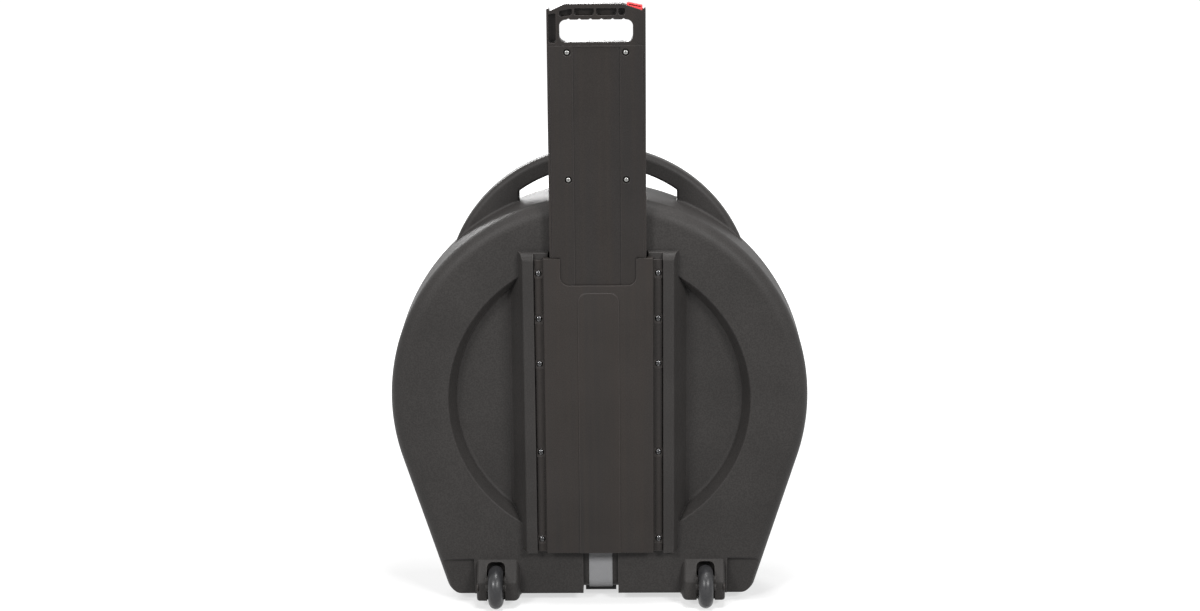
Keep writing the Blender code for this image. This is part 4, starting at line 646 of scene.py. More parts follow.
def rounded(corners, steps=CORNER_STEPS):
    """Points of a closed outline whose corners (x, y, radius) are rounded with arcs."""
    points = []
    for index, (x, y, radius) in enumerate(corners):
        corner = Vector((x, y))
        if radius == 0:
            points.append(corner)
            continue
        back = (Vector(corners[index - 1][:2]) - corner).normalized()
        ahead = (Vector(corners[(index + 1) % len(corners)][:2]) - corner).normalized()
        half_angle = back.angle(ahead) / 2
        centre = corner + (back + ahead).normalized() * radius / math.sin(half_angle)
        start = corner + back * radius / math.tan(half_angle) - centre
        end = corner + ahead * radius / math.tan(half_angle) - centre
        swing = start.angle(end)
        for step in range(steps + 1):
            share = step / steps
            mixed = start * math.sin((1 - share) * swing) + end * math.sin(share * swing)
            points.append(centre + mixed / math.sin(swing))
    return points


def rectangle(left, right, low, high, radius=0.0, upper_radius=None):
    """A rectangle with rounded corners, whose upper two can have a radius of their own."""
    upper = radius if upper_radius is None else upper_radius
    return rounded([(left, low, radius), (right, low, radius), (right, high, upper), (left, high, upper)])


def mirrored(right_half):
    return right_half + [(-corner[0], *corner[1:]) for corner in reversed(right_half)]


def arc(centre, radius, start, end, steps):
    angles = [start + (end - start) * step / steps for step in range(steps + 1)]
    return [(centre[0] + radius * math.cos(a), centre[1] + radius * math.sin(a)) for a in angles]


def quarter_turn(steps):
    return [math.pi / 2 * step / steps for step in range(steps + 1)]


def round_corner(steps):
    """Points of a rounded corner of radius 1: how far along and how far down it is from its two sides."""
    return [(1 - math.cos(a), 1 - math.sin(a)) for a in quarter_turn(steps)]


def at_depth(outline, y):
    return [(x, y, z) for x, z in outline]


def sides():
    return (("left", -1), ("right", 1))


# Shells
def case_outline(inset, bottom_inset):
    radius = CASE_RADIUS - inset
    corner = max(CORNER_RADIUS - inset, 0.002)
    corner_z = GROUND + bottom_inset + corner
    drop = corner_z - CENTRE_Z
    corner_x = (radius - corner + drop * math.sin(SIDE_LEAN)) / math.cos(SIDE_LEAN)
    right = arc((corner_x, corner_z), corner, -math.pi / 2, -SIDE_LEAN, CORNER_STEPS)
    right += arc((0, CENTRE_Z), radius, -SIDE_LEAN, math.pi / 2, ARC_STEPS)[:-1]
    return right + [(0, CENTRE_Z + radius)] + [(-x, z) for x, z in reversed(right)]


def case_solid(name, face_y, open_y, inset, edge, bottom_edge):
    """A solid with the case's outline, rounded where its side meets the face."""
    inward = 1 if open_y > face_y else -1
    rings = []
    depths = [edge * along for along, _ in round_corner(EDGE_STEPS)]
    for depth in depths + [abs(open_y - face_y)]:
        side = edge - math.sqrt(edge**2 - max(edge - depth, 0) ** 2)
        bottom = bottom_edge - math.sqrt(bottom_edge**2 - min(max(bottom_edge - depth, 0), bottom_edge) ** 2)
        rings.append(at_depth(case_outline(inset + side, inset + bottom), face_y + inward * depth))
    return loft(name, rings)


def recess_tool(name, face_y, depth, draft, grow):
    """A round dish to cut, its lip and the foot of its wall rounded."""
    outward = -1 if face_y < SEAM_Y else 1
    lip = RECESS_RADIUS + grow
    lip_round = min(0.0028, depth / 3)
    foot_round = min(0.007, depth / 2)
    wall_foot = lip - draft
    floor = -grow - depth
    corner = round_corner(6)
    profile = [(0, 2 * BEYOND), (lip + lip_round, 2 * BEYOND)]
    profile += [(lip + lip_round * down, -grow - lip_round * along) for along, down in corner]
    profile += [(wall_foot - foot_round * along, floor + foot_round * down) for along, down in corner]
    profile.append((0, floor))
    return turned(name, profile, (0, face_y, CENTRE_Z), (0, outward, 0), RING_STEPS)


def channel_core(grow):
    near, far = CHANNEL_DEPTH - grow, FACE_Y - LID_CHANNEL_DEPTH + grow
    low, high = GROUND + CHANNEL_DEPTH - grow, TOP_Z - CHANNEL_DEPTH + grow
    return rectangle(near, far, low, high, CHANNEL_RADIUS + grow)


def channel_tool(name, grow, half_width):
    """What lies outside the strap channel's floor, all the way round the case."""
    reach = 0.03
    outside = rectangle(-reach, FACE_Y + reach, -reach, TOP_Z + 0.004)
    return plate(name, [outside, channel_core(grow)], "YZ", -half_width, half_width)


# The pedestal behind the housing, and its ribs
TRAY_HALF = 0.0774
RIB_INNER = 0.1015
RIB_OUTER = 0.1185
RIB_BASE = 0.1255
RIB_FOOT = 0.140
RIB_HEIGHT = 0.016
RIB_TOP = 0.592
RIB_END_DROP = 0.019
RIB_END_REACH = 0.0168
LAND_HEIGHT = 0.007
LAND_DRAFT = 0.0015
HOUSING_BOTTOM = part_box("housing_cover")[0].z
HOUSING_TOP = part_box("housing_cover")[1].z
TRAY_RECESS = 0.002


def make_centre_block():
    foot = RECESS_DEPTH + WALL / 4
    corners = [
        (TRAY_HALF, TRAY_RECESS, 0),
        (TRAY_HALF + LAND_DRAFT, -LAND_HEIGHT, 0),
        (RIB_INNER, -LAND_HEIGHT, 0),
        (RIB_INNER, -RIB_HEIGHT, 0.0012),
        (RIB_OUTER, -RIB_HEIGHT, 0.004),
        (RIB_BASE, 0, 0.010),
        (RIB_FOOT - 0.001, RECESS_DEPTH - 0.004, 0.003),
        (RIB_FOOT + 0.006, foot, 0),
    ]
    pedestal = plate("pedestal", [rounded(mirrored(corners))], "XY", HOUSING_BOTTOM - WALL / 4, RIB_TOP)
    drop = RIB_END_DROP
    turn = quarter_turn(12)
    curve = [(-RIB_END_REACH * math.cos(a), RIB_TOP - drop * (1 - math.sin(a))) for a in turn]
    corner = [(0.0005, RIB_TOP + 0.0005), (0.0005, RIB_TOP + BEYOND)]
    beyond = [(-RIB_HEIGHT - BEYOND, RIB_TOP + BEYOND), (-RIB_HEIGHT - BEYOND, RIB_TOP - drop)]
    return cut(pedestal, plate("rib_end", [curve + corner + beyond], "YZ", -CASE_RADIUS, CASE_RADIUS))


def make_trench():
    """The hollow inside the pedestal, one wall behind its surface."""
    floor = TRAY_RECESS + WALL
    side = 0.6 * WALL
    land = TRAY_HALF + LAND_DRAFT + WALL
    centre = [
        (CHANNEL_HALF + WALL, CHANNEL_DEPTH + WALL, 0),
        (CHANNEL_HALF + WALL, floor, 0),
        (RIB_BASE - side, floor, 0),
        (RIB_FOOT - side, RECESS_DEPTH + 1.5 * WALL, 0),
    ]
    trench = plate("trench", [rounded(mirrored(centre))], "XY", HOUSING_BOTTOM + WALL, RIB_TOP - WALL)
    for label, sign in sides():
        hollow = [
            (land, floor + WALL / 4),
            (land, -LAND_HEIGHT + WALL),
            (RIB_INNER + WALL, -LAND_HEIGHT + WALL),
            (RIB_INNER + WALL, -RIB_HEIGHT + WALL),
            (RIB_OUTER - WALL, -RIB_HEIGHT + WALL),
            (RIB_BASE - WALL, floor + WALL / 4),
        ]
        outline = [(sign * x, y) for x, y in hollow]
        low, high = HOUSING_BOTTOM + WALL, RIB_TOP - RIB_END_DROP - WALL
        join(trench, plate("rib_hollow_" + label, [outline], "XY", low, high))
    return trench


# The carry arch on the rim
ARCH_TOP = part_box("carry_arch")[1].z
ARCH_FOOT_HALF = 0.229
ARCH_FOOT_Z = 0.586
ARCH_DEPTH = 0.024
ARCH_BACK = SEAM_Y - 0.0005
ARCH_EDGE = 0.0095
ARCH_WIDTH = 0.030
ARCH_HOLE_HALF = 0.1255
ARCH_HOLE_EDGE = 0.0042


def arch_circle():
    foot_z = CENTRE_Z + math.sqrt(CASE_RADIUS**2 - ARCH_FOOT_HALF**2)
    centre_z = (ARCH_TOP**2 - ARCH_FOOT_HALF**2 - foot_z**2) / (2 * (ARCH_TOP - foot_z))
    return centre_z, ARCH_TOP - centre_z


def arch_outline(inset):
    """The arch seen from behind. Its lower side lies inside the case, where it is cut away later."""
    centre_z, radius = arch_circle()
    toe, sunk = 0.0085, 0.022
    foot_x = ARCH_FOOT_HALF + toe
    foot = math.copysign(math.acos(foot_x / radius), ARCH_FOOT_Z - centre_z)
    outer = arc((0, centre_z), radius - inset, foot, math.pi - foot, 128)
    end_z = centre_z + radius * math.sin(foot) - CENTRE_Z
    turn = math.atan2(end_z, foot_x)
    inner = math.hypot(foot_x, end_z) - sunk
    return outer + arc((0, CENTRE_Z), inner, math.pi - turn, turn, 24)


def make_arch():
    """The carry handle on the rim, its edges rounded: most on the outside, and less round its hole."""
    face = ARCH_BACK - ARCH_DEPTH
    stations = [(face + ARCH_EDGE * along, ARCH_EDGE * down) for along, down in round_corner(8)]
    stations += [(ARCH_BACK - 0.002, 0), (ARCH_BACK - 0.0006, 0.0006), (ARCH_BACK, 0.002)]
    arch = loft("arch", [at_depth(arch_outline(inset), y) for y, inset in stations])
    flare = [(face + ARCH_HOLE_EDGE * along, ARCH_HOLE_EDGE * down) for along, down in round_corner(5)]
    stations = [(face - BEYOND, ARCH_HOLE_EDGE)] + flare
    stations += [(ARCH_BACK + face - y, grow) for y, grow in reversed(stations)]
    hole = loft("arch_hole", [at_depth(arch_hole_outline(grow), y) for y, grow in stations])
    return cut(arch, hole)


def arch_hole_outline(grow):
    """The crescent through the arch. Its lower side lies inside the case's rim."""
    centre_z, radius = arch_circle()
    upper_radius = radius - ARCH_WIDTH + grow
    sunk, corner = 0.006, 0.0052 + grow
    lower_radius = CASE_RADIUS - sunk - grow
    half = ARCH_HOLE_HALF + grow
    lower = math.asin(half / lower_radius)
    upper = math.asin(half / upper_radius)
    up = math.pi / 2
    steps = 40
    points = arc((0, CENTRE_Z), lower_radius, up + lower, up - lower, steps)
    points += arc((0, centre_z), upper_radius, up - upper, up + upper, steps)
    ends = (steps + 1, 2 * steps + 1)
    return rounded([(*point, corner if index in ends else 0) for index, point in enumerate(points)])


def make_arch_root(label, sign):
    """The fillet where the arch's face runs into the rim, smaller towards its two ends."""
    centre_z, radius = arch_circle()
    face = ARCH_BACK - ARCH_DEPTH
    outer = math.asin(ARCH_FOOT_HALF / CASE_RADIUS)
    inner = math.asin(ARCH_HOLE_HALF / CASE_RADIUS)
    least, growth = 0.0006, 0.0045
    rings = []
    steps = 28
    for step in range(steps + 1):
        angle = outer + (inner - outer) * step / steps
        rim = Vector((math.sin(angle), math.cos(angle)))
        reach = (Vector((0, CENTRE_Z - centre_z)) + rim * CASE_RADIUS).length
        height = radius - reach
        size = least + growth * min(max(height - 0.001, 0) / 0.012, 1) * min((steps - step) / 3 + 0.25, 1)
        section = [(-0.002, 0.002), (size, 0.002)]
        section += [(size * down, -size * along) for along, down in round_corner(6)]
        section.append((-0.002, -size))
        ring = []
        for out, depth in section:
            far = CASE_RADIUS + out
            ring.append((sign * rim.x * far, face + depth, CENTRE_Z + rim.y * far))
        rings.append(ring)
    return loft("arch_root_" + label, rings)


# Wheel boxes, wells and corner steps
WHEEL_RADIUS = 0.035
WHEEL_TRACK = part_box("tyre_right")[0].x + 0.012
WHEEL_Y = -0.020
WELL_HALF = 0.0148
WELL_SHOULDER = 0.009
WELL_CLEARANCE = 0.006
BOX_HALF = 0.0313
BOX_INSIDE = 0.006
BOX_TOP = 0.0765
BOX_CREASE = (-0.0245, 0.0445)
BOX_FOOT = (-0.0275, 0.0125)
BOX_ROUND = 0.006


def make_wheel_box(label, sign):
    """The moulded box round a wheel. Its inner side and its top run out into the back face."""
    inner = -BOX_HALF - 0.0020
    outer = BOX_HALF
    # Each station's place across the box, its share of the full depth, and how far its corners sink in
    stations = [
        (inner - 0.0068, 0.02, 0.016),
        (inner - 0.0056, 0.25, 0.013),
        (inner - 0.0046, 0.50, 0.010),
        (inner - 0.0034, 0.70, 0.0065),
        (inner - 0.0018, 0.85, 0.0035),
        (inner + 0.0003, 0.945, 0.0012),
        (inner + 0.0028, 0.99, 0.0002),
        (inner + 0.0050, 1.0, 0),
        (outer - 0.0058, 1.0, 0),
        (outer - 0.0036, 0.98, 0.0003),
        (outer - 0.0018, 0.93, 0.0012),
        (outer - 0.0006, 0.85, 0.0030),
        (outer, 0.74, 0.0055),
    ]
    rings = []
    for x, share, sink in stations:
        corners = [
            (BOX_INSIDE, BOX_TOP - sink, 0),
            (0.0008, BOX_TOP - 0.0005 - sink, 0.004),
            (BOX_CREASE[0], BOX_CREASE[1] - sink / 2, BOX_ROUND),
            (BOX_FOOT[0], BOX_FOOT[1] + sink / 3, BOX_ROUND),
            (BOX_INSIDE, BOX_FOOT[1] - 0.0005, 0),
        ]
        place = sign * (WHEEL_TRACK + x)
        ring = []
        for y, z in rounded(corners, 10):
            ring.append((place, y if y > 0 else y * share + 0.0008 * (1 - share), z))
        rings.append(ring)
    return loft("wheel_box_" + label, rings)


def make_wheel_well(name, sign, grow):
    half = WELL_HALF + grow
    radius = WHEEL_RADIUS + WELL_CLEARANCE + grow
    stations = [(-half + WELL_SHOULDER * along, WELL_SHOULDER * down) for along, down in round_corner(6)]
    stations += [(-x, shrink) for x, shrink in reversed(stations)]
    rings = []
    for x, shrink in stations:
        top = arc((WHEEL_Y, WHEEL_RADIUS), radius - shrink, 0, math.pi, 24)
        outline = [(top[0][0], -BEYOND)] + top + [(top[-1][0], -BEYOND)]
        rings.append([(sign * (WHEEL_TRACK + x), y, z) for y, z in outline])
    return loft(name, rings)


def make_wheel_spacer(name, sign, side):
    """A raised pad with a collar inside a cheek, which keeps the wheel in the middle of its well."""
    pad = rectangle(-0.0245, -0.0080, GROUND, 0.0520, 0.0060)
    collar = arc((WHEEL_Y, WHEEL_RADIUS), 0.0075, 0, 2 * math.pi, 32)[:-1]
    plates = []
    # Each plate's outline, its start from the wheel's middle and how far it sinks into the cheek
    for suffix, outline, start, sunk in (("", pad, 0.0125, 0.002), ("_collar", collar, 0.0114, 0.0015)):
        near, far = sorted(sign * WHEEL_TRACK + side * reach for reach in (start, WELL_HALF + sunk))
        plates.append(plate(name + suffix, [outline], "YZ", near, far))
    return join(*plates)


def make_corner_step(name, sign, grow):
    depth = 0.008 + grow
    top = 0.075 + grow
    slope = [(depth, top - 0.0065), (depth - 0.0012, top - 0.0035)]
    slope += [(0.0012, top + 0.0005), (-0.0004, top + 0.0030)]
    outline = [(-BEYOND, -BEYOND), (depth, -BEYOND)] + slope + [(-BEYOND, top + 0.0030)]
    inner = WHEEL_TRACK + BOX_HALF + 0.004 - grow
    near, far = sorted((sign * inner, sign * (inner + CASE_RADIUS)))
    return plate(name, [outline], "YZ", near, far)


def make_base_cavity():
    edge, bottom_edge = EDGE_RADIUS - WALL, BOTTOM_EDGE_RADIUS - WALL
    cavity = case_solid("base_cavity", WALL, SEAM_Y + BEYOND, WALL, edge, bottom_edge)
    cut(cavity, recess_tool("recess_wall", 0, RECESS_DEPTH, RECESS_DRAFT, WALL))
    join(cavity, make_trench())
    cut(cavity, channel_tool("channel_wall", -WALL, CHANNEL_HALF + WALL))
    for label, sign in sides():
        cut(cavity, make_wheel_well("well_wall_" + label, sign, WALL))
        cut(cavity, make_corner_step("step_wall_" + label, sign, WALL))
    return cavity


def make_base_shell():
    shell = case_solid("moulded_back_shell", 0, SEAM_Y, 0, EDGE_RADIUS, BOTTOM_EDGE_RADIUS)
    cut(shell, recess_tool("recess", 0, RECESS_DEPTH, RECESS_DRAFT, 0))
    arch = join(make_arch(), make_arch_root("left", -1), make_arch_root("right", 1))
    join(shell, make_centre_block(), arch, make_wheel_box("left", -1), make_wheel_box("right", 1))
    bed_low = (-TRAY_HALF, -BEYOND, HOUSING_BOTTOM)
    cut(shell, block("tray_bed", bed_low, (TRAY_HALF, TRAY_RECESS, HOUSING_TOP)))
    for label, sign in sides():
        cut(shell, make_corner_step("step_" + label, sign, 0))
    cut(shell, channel_tool("channel", 0, CHANNEL_HALF), make_base_cavity())
    for label, sign in sides():
        cut(shell, make_wheel_well("well_" + label, sign, 0))
        for which, side in (("near", -1), ("far", 1)):
            join(shell, make_wheel_spacer(f"{which}_spacer_{label}", sign, side))
    return settle(shell, "case", "shell_plastic", "base_shell", "carry_arch")


def make_lid_shell():
    edge = EDGE_RADIUS - LID_INSET
    lid = case_solid("moulded_lid_shell", FACE_Y, SEAM_Y + GAP, LID_INSET, edge, BOTTOM_EDGE_RADIUS)
    lip = WALL + 0.001
    lip_y = SEAM_Y - LID_LIP
    lip_rings = [at_depth(case_outline(lip, lip), y) for y in (lip_y, SEAM_Y + WALL)]
    join(lid, loft("lid_lip", lip_rings))
    dish = recess_tool("lid_recess", FACE_Y, LID_RECESS_DEPTH, LID_RECESS_DRAFT, 0)
    band_half = 0.045
    band_low = (-band_half, FACE_Y - 2 * LID_RECESS_DEPTH, 0)
    cut(dish, block("lid_band", band_low, (band_half, FACE_Y + 0.03, TOP_Z + BEYOND)))
    cut(lid, dish, channel_tool("lid_channel", 0, CHANNEL_HALF))
    inner = lip + 0.0035
    open_y = lip_y - BEYOND
    bottom_edge = BOTTOM_EDGE_RADIUS - WALL
    cavity = case_solid("lid_cavity", FACE_Y - WALL, open_y, inner, edge - WALL, bottom_edge)
    cut(cavity, recess_tool("lid_recess_wall", FACE_Y, LID_RECESS_DEPTH, LID_RECESS_DRAFT, WALL))
    cut(cavity, channel_tool("lid_channel_wall", -WALL, CHANNEL_HALF + WALL))
    notch_half = CHANNEL_HALF + WALL + 0.001
    notch_high = (notch_half, SEAM_Y + GAP, TOP_Z + BEYOND)
    cut(lid, cavity, block("lip_notch", (-notch_half, open_y, 0), notch_high))
    return settle(lid, "lid", "shell_plastic", "lid_shell")


# Housing of the pull handle
SLOT_HALF = 0.0768
PANEL_HALF = 0.086
FLANGE_HALF = 0.1004
PANEL_FRONT = -0.0180
PANEL_BACK = -0.0158
FLANGE_BACK = -0.0073
FLANGE_FRONT = -0.0093
SCREW_X = 0.094
SCREW_PITCH = 0.0739
SCREW_HEIGHTS = [HOUSING_TOP - 0.026 - step * SCREW_PITCH for step in (0, 1, 2, 4, 6)]
NOTCH_HALF = 0.0595
NOTCH_DEPTH = 0.044
BAND_HALF = 0.0325
BAND_DROP = 0.056
BAND_HEIGHT = 0.0012


def make_housing_cover():
    section = [
        (PANEL_HALF, PANEL_FRONT, 0.0015),
        (PANEL_HALF, FLANGE_FRONT, 0.0010),
        (FLANGE_HALF, FLANGE_FRONT, 0.0005),
        (FLANGE_HALF, FLANGE_BACK, 0),
        (SLOT_HALF, FLANGE_BACK, 0),
        (SLOT_HALF, PANEL_BACK, 0),
    ]
    outline = rounded(mirrored(section), 4)
    cover = plate("moulded_housing_cover", [outline], "XY", HOUSING_BOTTOM, HOUSING_TOP)
    low, high = HOUSING_BOTTOM + 0.0002, HOUSING_TOP - BAND_DROP
    band = rectangle(-BAND_HALF, BAND_HALF, low, high, 0, 0.015)
    join(cover, plate("band", [band], "XZ", PANEL_FRONT - BAND_HEIGHT, PANEL_FRONT + 0.001))
    end_half = SLOT_HALF + GAP
    end_low = (-end_half, PANEL_BACK - 0.001, HOUSING_BOTTOM)
    join(cover, block("end", end_low, (end_half, -GAP, HOUSING_BOTTOM + 0.003)))
    above = HOUSING_TOP + BEYOND
    notch = [
        (NOTCH_HALF, HOUSING_TOP - NOTCH_DEPTH, 0.014),
        (NOTCH_HALF, HOUSING_TOP, 0.003),
        (NOTCH_HALF + 0.008, above, 0),
    ]
    outline = rounded(mirrored(notch))
    cut(cover, plate("notch", [outline], "XZ", PANEL_FRONT - BEYOND, PANEL_BACK + 0.0005))
    for label, sign in sides():
        near, far = sorted((sign * PANEL_HALF, sign * (FLANGE_HALF + BEYOND)))
        low = (near, FLANGE_FRONT - 0.002, HOUSING_TOP - 0.004)
        cut(cover, block("flange_top_" + label, low, (far, FLANGE_BACK + 0.002, above)))
        for number, z in enumerate(SCREW_HEIGHTS):
            x = sign * SCREW_X
            pocket = rectangle(x - 0.0055, x + 0.0055, z - 0.0075, z + 0.0065, 0.001)
            floor = FLANGE_FRONT + 0.001
            cut(cover, plate(f"pocket_{label}_{number}", [pocket], "XZ", FLANGE_FRONT - 0.002, floor))
    return settle(cover, "case", "housing_plastic", "housing_cover", edge=0.0003)


# Pull handle
HANDLE_HALF = 0.0755
HANDLE_RIM = 0.0035
HANDLE_FRONT = -0.0154
HANDLE_BACK = -0.0012
HANDLE_FLOOR = -0.0032
HANDLE_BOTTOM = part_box("handle_body")[0].z
HANDLE_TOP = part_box("handle_body")[1].z
GRIP_BOTTOM = HANDLE_TOP - 0.0631
COVER_BACK = -0.0129
WINDOW_HALF = 0.056
WINDOW_HEIGHT = 0.0343
FINGER_PITCH = 0.0168
POCKET_DEPTH = 0.009
POCKET_GUSSET = 0.0024
BUTTON_LEFT = 0.0470
BUTTON_RIGHT = 0.0707
BUTTON_STEM = 0.0595
BUTTON_FRONT = -0.0123
BUTTON_BACK = -0.0038
BUTTON_FALL = 0.0050
SEAT_DEPTH = 0.0014


def window_outline():
    """The hole for the hand, with a notch between each two fingers along its top."""
    low = GRIP_BOTTOM + 0.005
    high = low + WINDOW_HEIGHT
    corners = [(-WINDOW_HALF, low, 0.010), (WINDOW_HALF, low, 0.010), (WINDOW_HALF, high, 0.010)]
    for number in reversed(range(6)):
        x = (number - 2.5) * FINGER_PITCH
        corners += [(x + 0.0030, high, 0.0008), (x, high + 0.0018, 0.0010), (x - 0.0030, high, 0.0008)]
    corners.append((-WINDOW_HALF, high, 0.010))
    return rounded(corners)


def grip_pockets():
    """Outlines of the small pockets in the grip, each with a gusset in its two lower corners."""
    top = HANDLE_TOP - 0.0065
    low = top - 0.0105
    side_top = HANDLE_TOP - 0.0100 - 0.0035
    side_low = GRIP_BOTTOM + 0.004
    # Left, right, low and top, and how far the left end runs down at its foot and at its top
    sizes = [(-0.0560, -0.0365, low, top, 0.0022, 0.0040)]
    for left, right in ((-0.0330, -0.0030), (0.0002, 0.0314), (0.0340, 0.0443)):
        sizes.append((left, right, low, top, 0, 0))
    sizes.append((-0.0726, -0.0614, side_low, side_top, 0, 0.002))
    outlines = []
    for left, right, foot, head, foot_fall, head_fall in sizes:
        corners = [
            (left, foot - foot_fall + POCKET_GUSSET, 0),
            (left + POCKET_GUSSET, foot - foot_fall, 0),
            (right - POCKET_GUSSET, foot, 0),
            (right, foot + POCKET_GUSSET, 0),
            (right, head, 0.002),
            (left, head - head_fall, 0.002),
        ]
        outlines.append(rounded(corners))
    return outlines


def make_handle_frame():
    """The handle's frame, with its window, its pockets and the hollow behind its cover."""
    post_z = HANDLE_TOP - 0.0072
    post_x = HANDLE_HALF - HANDLE_RIM
    shoulder_z = HANDLE_TOP - 0.0100
    shoulder_x = post_x - 0.00175
    corners = [
        (-HANDLE_HALF, HANDLE_BOTTOM, 0.003),
        (HANDLE_HALF, HANDLE_BOTTOM, 0.003),
        (HANDLE_HALF, post_z, 0.0012),
        (post_x, post_z, 0.0012),
        (shoulder_x, shoulder_z, 0),
        (0.0401, HANDLE_TOP, 0.008),
        (-0.0481, HANDLE_TOP, 0.008),
        (-shoulder_x, shoulder_z, 0),
        (-post_x, post_z, 0.0012),
        (-HANDLE_HALF, post_z, 0.0012),
    ]
    body = plate("handle_frame", [rounded(corners)], "XZ", HANDLE_FRONT, HANDLE_BACK)
    front = HANDLE_FRONT - BEYOND
    cut(body, plate("window", [window_outline()], "XZ", front, HANDLE_BACK + BEYOND))
    for number, outline in enumerate(grip_pockets()):
        cut(body, plate(f"grip_pocket_{number}", [outline], "XZ", front, HANDLE_FRONT + POCKET_DEPTH))
    inner = HANDLE_HALF - HANDLE_RIM
    bed_high = (inner, COVER_BACK + GAP, GRIP_BOTTOM)
    cut(body, block("cover_bed", (-inner, front, HANDLE_BOTTOM - BEYOND), bed_high))
    hollow_high = (inner, HANDLE_FLOOR, GRIP_BOTTOM - 0.0025)
    cut(body, block("hollow", (-inner, front, HANDLE_BOTTOM + WALL), hollow_high))
    left, stem, right = BUTTON_LEFT - GAP, BUTTON_STEM - GAP, BUTTON_RIGHT + GAP
    upper, lower = HANDLE_TOP - 0.0198, HANDLE_TOP - 0.0288
    space = [(left, upper), (stem, upper), (stem, lower), (right, lower)]
    space += [(right, HANDLE_TOP + BEYOND), (left, HANDLE_TOP + BEYOND)]
    cut(body, plate("button_space", [space], "XZ", COVER_BACK + GAP, BUTTON_BACK + GAP))
    return settle(body, "pull_handle", "handle_plastic", "handle_body", edge=0.0003)


def make_handle_plate():
    """The long cover of the handle, with its sunk middle and the sunk seats of its screws."""
    half = HANDLE_HALF - HANDLE_RIM - GAP
    cover_low = (-half, HANDLE_FRONT, HANDLE_BOTTOM)
    cover = block("handle_front_plate", cover_low, (half, COVER_BACK, GRIP_BOTTOM - GAP))
    sunk_half = 0.036
    sunk_low = (-sunk_half, HANDLE_FRONT - BEYOND, HANDLE_BOTTOM - BEYOND)
    sunk_high = (sunk_half, HANDLE_FRONT + 0.0012, GRIP_BOTTOM - 0.003)
    cut(cover, block("sunk_middle", sunk_low, sunk_high))
    groove = -0.0008
    for number in range(1, 5):
        low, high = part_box(f"handle_screw_{number}")
        place = ((low.x + high.x) / 2, HANDLE_FRONT + SEAT_DEPTH, (low.z + high.z) / 2)
        head = (high.x - low.x) / 2 + GAP
        profile = [(0, BEYOND), (0.0060, BEYOND), (0.0057, 0.0011), (0.0055, groove)]
        profile += [(head, groove), (head, 0), (0, 0)]
        cut(cover, turned(f"seat_{number}", profile, place, (0, -1, 0)))
    return settle(cover, "pull_handle", "handle_plastic", "handle_cover", edge=0.00025)


def make_button():
    """The red release button: a sloped cap with a slot along its face, dark from its shadow and from painted
    shade.
    """
    top = HANDLE_TOP + 0.0021
    outline = [
        (BUTTON_LEFT, HANDLE_TOP - 0.0155, 0),
        (BUTTON_STEM, HANDLE_TOP - 0.0155, 0),
        (BUTTON_STEM, HANDLE_TOP - 0.0245, 0),
        (BUTTON_RIGHT, HANDLE_TOP - 0.0245, 0),
        (BUTTON_RIGHT, top - BUTTON_FALL, 0.0012),
        (BUTTON_LEFT, top, 0.0012),
    ]
    button = plate("thumb_button", [rounded(outline)], "XZ", BUTTON_FRONT, BUTTON_BACK)
    slope = BUTTON_FALL / (BUTTON_RIGHT - BUTTON_LEFT)
    ends = (BUTTON_LEFT + 0.0030, BUTTON_RIGHT - 0.0030)
    upper = [(x, top - 0.0018 - slope * (x - BUTTON_LEFT)) for x in ends]
    lower = [(x, z - 0.0017) for x, z in reversed(upper)]
    cut(button, plate("slot", [upper + lower], "XZ", BUTTON_FRONT - BEYOND, BUTTON_FRONT + 0.0035))
    return settle(button, "release", "red_plastic", "release_button", edge=0.0003)


def make_spring():
    """The coil spring under the push rod."""
    low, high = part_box("return_spring")
    wire = 0.0006
    turns = 6
    steps = 28
    middle = Vector(((low.x + high.x) / 2, (low.y + high.y) / 2 - BACK_FACE, 0))
    radius = (high.x - low.x) / 2 - wire
    round_wire = [2 * math.pi * side / 8 for side in range(8)]
    up = Vector((0, 0, 1))
    rings = []
    for step in range(turns * steps + 1):
        angle = 2 * math.pi * step / steps
        out = Vector((math.cos(angle), math.sin(angle), 0))
        height = low.z + wire + (high.z - low.z - 2 * wire) * step / (turns * steps)
        core = middle + out * radius + Vector((0, 0, height))
        rings.append([core + (out * math.cos(a) + up * math.sin(a)) * wire for a in round_wire])
    spring = settle(loft("coiled_spring", rings), "pull_handle", "bright_steel", "return_spring")
    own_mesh(spring)


# Screws
def make_cross_screw(name, node, body, slot, dome, turn):
    """A domed screw with a cross recess, turned by an angle."""
    low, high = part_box(node)
    head = (high.x - low.x) / 2
    place = ((low.x + high.x) / 2, low.y - BACK_FACE + dome, (low.z + high.z) / 2)
    curve = [(head * math.sin(a), dome * (0.22 + 0.78 * math.cos(a))) for a in quarter_turn(8)]
    length = high.y - low.y - dome
    shank = 0.4 * head
    profile = curve + [(head, 0), (shank, 0), (shank, -length), (0, -length)]
    screw = turned(name, profile, place, (0, -1, 0), 28)
    wide, narrow = 0.62 * head, 0.13 * head
    cross = []
    for quarter in range(4):
        angle = turn + quarter * math.pi / 2
        ahead = Vector((math.cos(angle), math.sin(angle)))
        aside = Vector((-ahead.y, ahead.x))
        centre = Vector((place[0], place[2]))
        cross.append(centre + ahead * narrow - aside * narrow)
        cross.append(centre + ahead * wide - aside * narrow)
        cross.append(centre + ahead * wide + aside * narrow)
    cut(screw, plate("cross", [cross], "XZ", place[1] - BEYOND, place[1] - 0.25 * dome))
    return settle(screw, body, slot, node)


